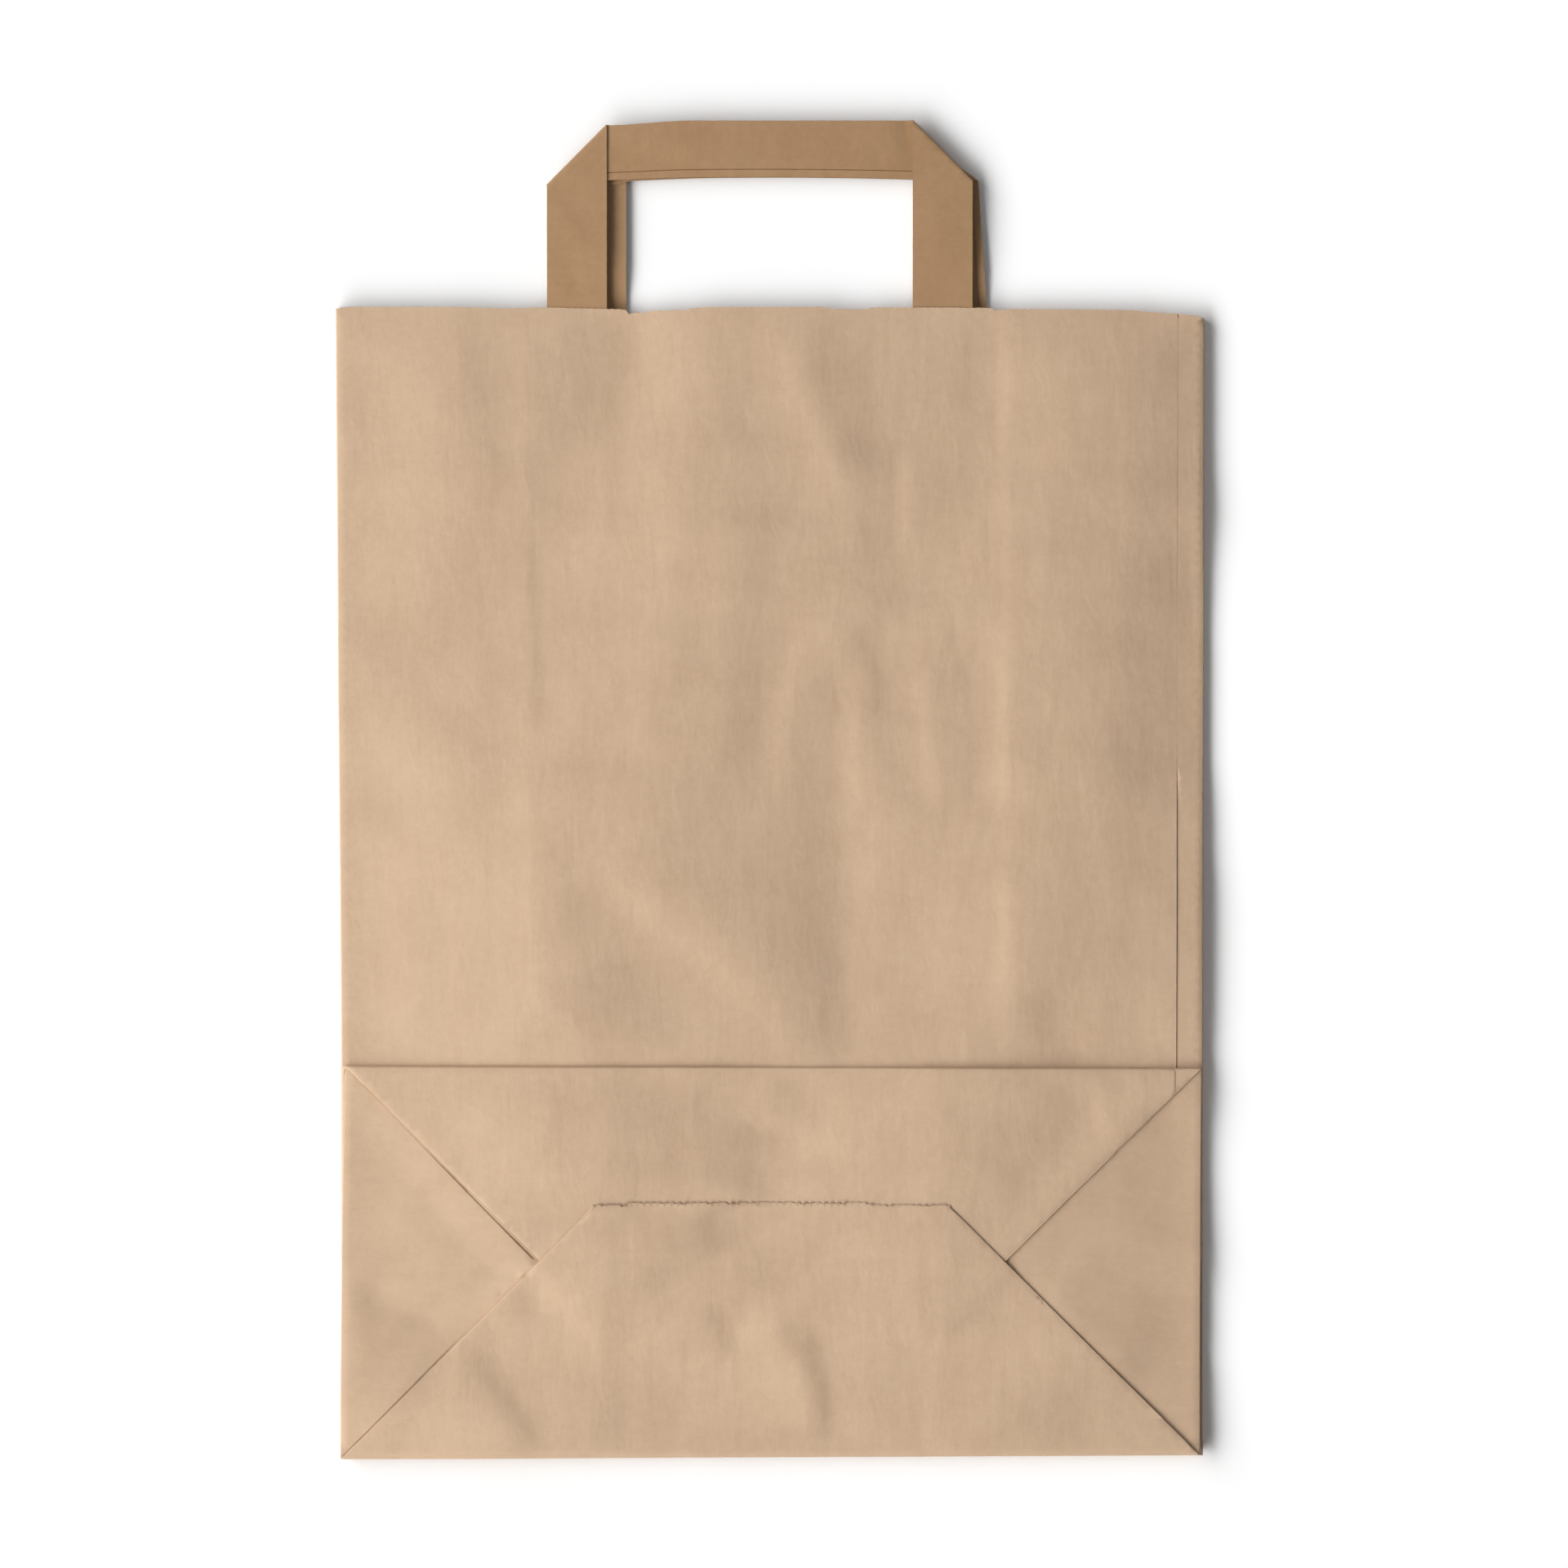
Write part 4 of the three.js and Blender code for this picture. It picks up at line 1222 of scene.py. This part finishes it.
def strip_faces():
    """The panels of a handle's strip: u runs along it, and t across it."""
    rise = LEG_HIDDEN + HANDLE_RISE
    low = rise - STRIP_WIDTH
    half_width = HANDLE_WIDTH / 2
    end = low + HANDLE_WIDTH
    total = end + low
    return total, [
        Face("handle_leg", [(0, 0), (low, 0), (rise, STRIP_WIDTH), (0, STRIP_WIDTH)],
             lambda u, t: (t - half_width, u - LEG_HIDDEN), STRIP_GRID),
        Face("handle_bar", [(low, 0), (end, 0), (end - STRIP_WIDTH, STRIP_WIDTH),
                            (rise, STRIP_WIDTH)],
             lambda u, t: (u - low - half_width, low - LEG_HIDDEN + t), STRIP_GRID),
        Face("handle_leg", [(end, 0), (total, 0), (total, STRIP_WIDTH),
                            (end - STRIP_WIDTH, STRIP_WIDTH)],
             lambda u, t: (half_width - t, total - LEG_HIDDEN - u), STRIP_GRID),
    ]


def handle_mesh():
    """A handle's strip, meshed and folded: see fold_up."""
    total, faces = strip_faces()
    folds = find_folds(faces)
    rims = [
        split_line((0, 0), (total, 0), STRIP_GRID),
        split_line((0, STRIP_WIDTH), (total, STRIP_WIDTH), STRIP_GRID),
        split_line((0, 0), (0, STRIP_WIDTH), STRIP_GRID),
        split_line((total, 0), (total, STRIP_WIDTH), STRIP_GRID),
    ]
    groove_end = STRIP_STEP + GROOVE_WIDTH
    across = (STRIP_STEP - GROOVE_WALL, STRIP_STEP, groove_end, groove_end + GROOVE_WALL)
    groove = [((GROOVE_TRIM, t), (total - GROOVE_TRIM, t)) for t in across]
    flat, triangles = mesh_blank(faces, folds, rims, groove)
    folded, _, near_fold = fold_up(faces, folds, flat)
    folded[:, 2] += (STRIP - SHEET) / 2
    return flat, triangles, folded, near_fold


def handle_bend(x, y):
    """The handles as they lie: their left shoulders low, and their bars a little bowed."""
    low = HANDLE_RISE - STRIP_WIDTH
    across = np.clip((y - low) / STRIP_WIDTH, 0, 1)
    bow = BAR_BOW * np.clip(1 - (x / BOW_REACH) ** 2, 0, 1) * (1 - across)
    outer = np.maximum(across, smooth(*SHOULDER_CORNER, -x))
    drop = smooth(*SHOULDER_RANGE, -x) * (SHOULDER_DROP + SHOULDER_EDGE_DROP * outer)
    return x, y + (bow - drop) * smooth(*BEND_RANGE, y)


def back_handle_bend(x, y):
    """The back handle leans in to the left on its right side, behind the front one's shoulder."""
    along = np.clip((x + LEAN_START) / LEAN_LENGTH, 0, 1)
    lean = along * (FOOT_LEAN + LEG_LEAN * np.clip(y / LEG_LEAN_HEIGHT, 0, 1))
    lean = lean + SHOULDER_LEAN * smooth(*LEAN_CORNER[0], y) * smooth(*LEAN_CORNER[1], x)
    bent_x, bent_y = handle_bend(x, y)
    return bent_x - lean, bent_y - BACK_DROP * smooth(*BACK_DROP_RANGE, y)


def bar_crease(x, y, z):
    """The front handle's bar dips into its right shoulder."""
    across = (y - HANDLE_RISE + STRIP_WIDTH) / STRIP_WIDTH
    start = BAR_DIP_START - BAR_DIP_SLANT * np.clip(across, 0, 1)
    low, high = BAR_LEVELS
    bar = 1 - smooth(LIFT["handle_bar"] + low, LIFT["handle_bar"] + high, z)
    return z - BAR_DIP * smooth(start, start + BAR_DIP_LENGTH, x) * bar * smooth(*BAR_RANGE, y)


def lift_by_walls(x, y, level):
    """How far the layer at a level is moved by the wall's creases and loft."""
    points = np.column_stack([x, y, np.full(x.shape, level)])
    return settle(points, np.zeros(len(x), bool))[:, 2] - level


def glued_layer(name, node, slot, flat, triangles, placed, over, under, worn):
    """A closed piece from a sheet that lies in the mouth."""
    shell, inner, outer = thicken(placed, triangles, over, under)
    piece = make_piece(name, shell, inner + outer, np.vstack([flat, flat]),
                       {"worn": np.tile(worn, 2)})
    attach(piece, "root")
    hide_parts(node)
    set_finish(piece, slot)


def make_handle(name, strip, shift, spring, turned, bend):
    """One handle: its strip, folded, laid in the mouth and bent as it lies."""
    flat, triangles, folded, near_fold = strip
    x, y, z = folded.T
    level = LIFT["front_wall"]
    if turned:
        x, z = -x, FRONT_TOP - z
        level = LIFT["back_gusset"] / 2
    else:
        z = bar_crease(x, y, z)
    x, y = bend(x, y)
    x = x + shift
    inside = 1 - smooth(0, SPRING_SPREAD * spring, y)
    y = y + WALL_HEIGHT
    z = z + lift_by_walls(x, y, level) * inside + spring * (1 - inside)
    if not turned:
        z = z + crumple(HANDLE_MARKS, x, y)
    across = flat[:, 1]
    slack = GROOVE_WALL / 3
    groove = (across > STRIP_STEP - slack) & (across < STRIP_STEP + GROOVE_WIDTH + slack)
    over = np.where(groove, STRIP / 2 - GROOVE_DEPTH, STRIP / 2)
    under = np.full(len(x), STRIP / 2)
    worn = np.exp(-(near_fold / WORN_REACH) ** 2)
    glued_layer(f"{name}_strip", name, "kraft_strip", flat, triangles,
                np.column_stack([x, y, z]), over, under, worn)


def patch_mesh():
    """A patch, flat and laid below the mouth."""
    outline = [(0, 0), (PATCH_WIDTH, 0), (PATCH_WIDTH, PATCH_HEIGHT), (0, PATCH_HEIGHT)]
    faces = [Face("handle_patch", outline,
                  lambda s, v: (s - PATCH_WIDTH / 2, v - PATCH_HEIGHT - PATCH_INSET), HIDDEN_GRID)]
    rims = [split_line(start, end, HIDDEN_GRID)
            for start, end in zip(outline, outline[1:] + outline[:1])]
    flat, triangles = mesh_blank(faces, [], rims)
    folded, _, _ = fold_up(faces, [], flat)
    return flat, triangles, folded


def make_patch(name, sheet, turned):
    """One patch, glued over the hidden legs of a handle."""
    flat, triangles, folded = sheet
    x, y, z = folded.T
    y = y + WALL_HEIGHT
    level = LIFT["front_wall"]
    if turned:
        z = FRONT_TOP - z
        level = LIFT["back_gusset"] / 2
    half = np.full(len(x), SHEET / 2)
    glued_layer(f"{name}_sheet", name, "kraft_body", flat, triangles,
                np.column_stack([x, y, z + lift_by_walls(x, y, level)]), half, half, 0 * half)


strip = handle_mesh()
make_handle("front_handle", strip, FRONT_HANDLE_SHIFT, FRONT_SPRING, False, handle_bend)
make_handle("back_handle", strip, BACK_HANDLE_SHIFT, BACK_SPRING, True, back_handle_bend)
patch = patch_mesh()
make_patch("front_handle_patch", patch, False)
make_patch("back_handle_patch", patch, True)


def srgb(red, green, blue):
    """Linear colour from the 0 to 255 values of a screen."""
    def linear(value):
        value /= 255
        return value / 12.92 if value <= 0.04045 else ((value + 0.055) / 1.055) ** 2.4
    return (linear(red), linear(green), linear(blue), 1)


# The painted shadow under the curled teeth of the back flap's cut, and how much of it shows
NICK_SHADOW = srgb(92, 64, 40)
NICK_SHADOW_SHARE = 0.9

# How much of the paper's lighter tone shows where it is rubbed
WORN_SHARE = 0.18

# Heights of the paper's slight cockle and of its tooth, in metres
COCKLE = 0.00024
PAPER_TOOTH = 0.00008

PAPER_ROUGHNESS = 0.8
PAPER_SHEEN = 0.25

# The paper's texture: how far the blank's metres are stretched for its even patterns, the
# scale of those, and how many ribs, fibres and cockles go to a metre across and up the blank
MILLIMETRES = (1000, 1000, 1000)
CLOUD_SCALE = 0.05
GRAIN_SCALE = 0.35
RIBS = (700, 15, 1000)
FIBRES = (2600, 500, 1000)
FIBRE_LEAN = 0.35
CROSS_FIBRES = (500, 2400, 1000)
CROSS_LEAN = -0.4
COCKLES = (150, 60, 1000)

# What share of the paper's tone each pattern makes, and between which tones it goes from its
# dark colour to its light one
CLOUD_SHARE = 0.34
GRAIN_SHARE = 0.34
RIB_SHARE = 0.06
FIBRE_SHARE = 0.13
TONE_RANGE = (0.28, 0.72)


def kraft(name, dark, light):
    """Brown kraft paper: cloudy, with fibres, faint ribs, rubbed folds, and painted shadow under the teeth
    of its cut.
    """
    paper = Material(name)
    blank = paper.node("ShaderNodeUVMap", {"uv_map": "Blank"})
    place = paper.stretched(blank, MILLIMETRES)
    clouds = paper.noise(place, CLOUD_SCALE, 3, 0.6)
    grain = paper.noise(place, GRAIN_SCALE, 5, 0.65)
    ribs = paper.noise(paper.stretched(blank, RIBS), 1.0, 2, 0.5)
    fibres = paper.noise(paper.stretched(blank, FIBRES, FIBRE_LEAN), 1.0, 2, 0.5, 0.6)
    cross = paper.noise(paper.stretched(blank, CROSS_FIBRES, CROSS_LEAN), 1.0, 2, 0.5, 0.6)
    tone = CLOUD_SHARE * clouds + GRAIN_SHARE * grain + RIB_SHARE * ribs
    tone = tone + FIBRE_SHARE * fibres + FIBRE_SHARE * cross
    colour = paper.mix(paper.ramp(tone, *TONE_RANGE), dark, light)
    worn = paper.node("ShaderNodeAttribute", {"attribute_name": "worn"}, output=2)
    colour = paper.mix(worn * WORN_SHARE, colour, light)
    # Painted shadow under the teeth of the back flap's cut
    nick_shadow = paper.node("ShaderNodeAttribute", {"attribute_name": "nick_shadow"}, output=2)
    colour = paper.mix(nick_shadow * NICK_SHADOW_SHARE, colour, NICK_SHADOW)
    cockle = paper.noise(paper.stretched(blank, COCKLES), 1.0, 3, 0.55, 0.3)
    wavy = paper.node("ShaderNodeBump", {}, {
        "Strength": 1.0, "Distance": COCKLE, "Height": cockle,
    })
    height = 0.5 * grain + 0.3 * fibres + 0.2 * cross
    normal = paper.node("ShaderNodeBump", {}, {
        "Strength": 0.25, "Distance": PAPER_TOOTH, "Height": height, "Normal": wavy,
    })
    shader = paper.node("ShaderNodeBsdfPrincipled", {}, {
        "Base Color": colour, "Roughness": PAPER_ROUGHNESS, "Normal": normal,
        "Specular IOR Level": PAPER_SHEEN,
    })
    paper.node("ShaderNodeOutputMaterial", {}, {"Surface": shader})
    return paper.material


body_paper = kraft("kraft_body", srgb(196, 166, 137), srgb(210, 181, 152))
strip_paper = kraft("kraft_strip", srgb(165, 129, 93), srgb(178, 143, 108))
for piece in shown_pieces():
    is_strip = piece.get("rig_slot") == "kraft_strip"
    piece.data.materials.clear()
    piece.data.materials.append(strip_paper if is_strip else body_paper)


# The floor, in metres: how far it reaches, how far it lies below the bag, and the distances
# between which it changes from a surface in the light to a plain white one
FLOOR_REACH = 4.0
FLOOR_DROP = 0.0002
FLOOR_CHANGE = (0.4, 0.9)

# The floor's colour as it lights the bag, its white where it is seen, and how fast the light
# falls off across it, to each metre of x and y
FLOOR_COLOUR = (0.9, 0.9, 0.9, 1)
FLOOR_WHITE = 1.07
FALLOFF = (0.66, 0.18)

# How strongly the white surroundings light the bag
AMBIENT = 0.08


def floor():
    """The white surface under the bag: near it, it takes its shadow, and far off it is plain."""
    mesh = bpy.data.meshes.new("floor")
    corners = [(-1, -1), (1, -1), (1, 1), (-1, 1)]
    mesh.from_pydata([(x * FLOOR_REACH, y * FLOOR_REACH, 0) for x, y in corners], [], [(0, 1, 2, 3)])
    plane = bpy.data.objects.new("floor", mesh)
    plane.location.z = -FLOOR_DROP
    bpy.context.scene.collection.objects.link(plane)
    ground = Material("floor")
    seen = ground.seen()
    place = ground.node("ShaderNodeTexCoord", output="Object")
    x = ground.node("ShaderNodeSeparateXYZ", {}, {"Vector": place}, output=0)
    y = ground.node("ShaderNodeSeparateXYZ", {}, {"Vector": place}, output=1)
    even = FLOOR_WHITE / (1.0 - FALLOFF[0] * x - FALLOFF[1] * y)
    white = ground.node("ShaderNodeCombineColor", {}, {"Red": even, "Green": even, "Blue": even})
    colour = ground.mix(seen, FLOOR_COLOUR, white)
    near = ground.node("ShaderNodeBsdfDiffuse", {}, {"Color": colour})
    far = ground.node("ShaderNodeEmission", {}, {"Color": (1, 1, 1, 1), "Strength": 1.0})
    distance = ground.node("ShaderNodeVectorMath", {"operation": "LENGTH"}, {0: place},
                           output="Value")
    shader = ground.node("ShaderNodeMixShader", {}, {
        0: seen * ground.ramp(distance, *FLOOR_CHANGE), 1: near, 2: far,
    })
    ground.node("ShaderNodeOutputMaterial", {}, {"Surface": shader})
    mesh.materials.append(ground.material)


floor()


def area_light(name, place, target, size, power):
    """A rectangular lamp at a place, turned to a target."""
    light = bpy.data.lights.new(name, "AREA")
    light.shape = "RECTANGLE"
    light.size, light.size_y = size
    light.energy = power
    lamp = bpy.data.objects.new(name, light)
    lamp.location = place
    lamp.rotation_euler = (Vector(target) - Vector(place)).to_track_quat("-Z", "Y").to_euler()
    bpy.context.scene.collection.objects.link(lamp)


area_light("key", (-1.6, -0.45, 1.15), (0, 0, 0), (5.4, 1.2), 112)
area_light("fill", (0.5, 0.6, 2.3), (0, 0, 0), (2.0, 2.0), 5)

world = bpy.data.worlds.new("studio")
world.use_nodes = True
studio = NodeTree(world.node_tree)
studio.tree.nodes.clear()
studio.node("ShaderNodeOutputWorld", {}, {
    "Surface": studio.node("ShaderNodeBackground", {}, {
        "Color": (1, 1, 1, 1),
        "Strength": AMBIENT + (1 - AMBIENT) * studio.seen(),
    }),
})
bpy.context.scene.world = world

camera = bpy.data.cameras.new("camera")
camera.sensor_width = 36
camera_height = 2.6
frame_width = PICTURE * PIXEL * MM
camera.lens = camera.sensor_width * camera_height / frame_width
camera_object = bpy.data.objects.new("camera", camera)
centre = from_pixels([(PICTURE / 2, PICTURE / 2)])[0] * MM
camera_object.location = (centre[0], centre[1] - (WALL_HEIGHT + HANDLE_RISE) / 2 * MM,
                          camera_height)
bpy.context.scene.collection.objects.link(camera_object)
bpy.context.scene.camera = camera_object
bpy.context.scene.view_settings.view_transform = "Standard"
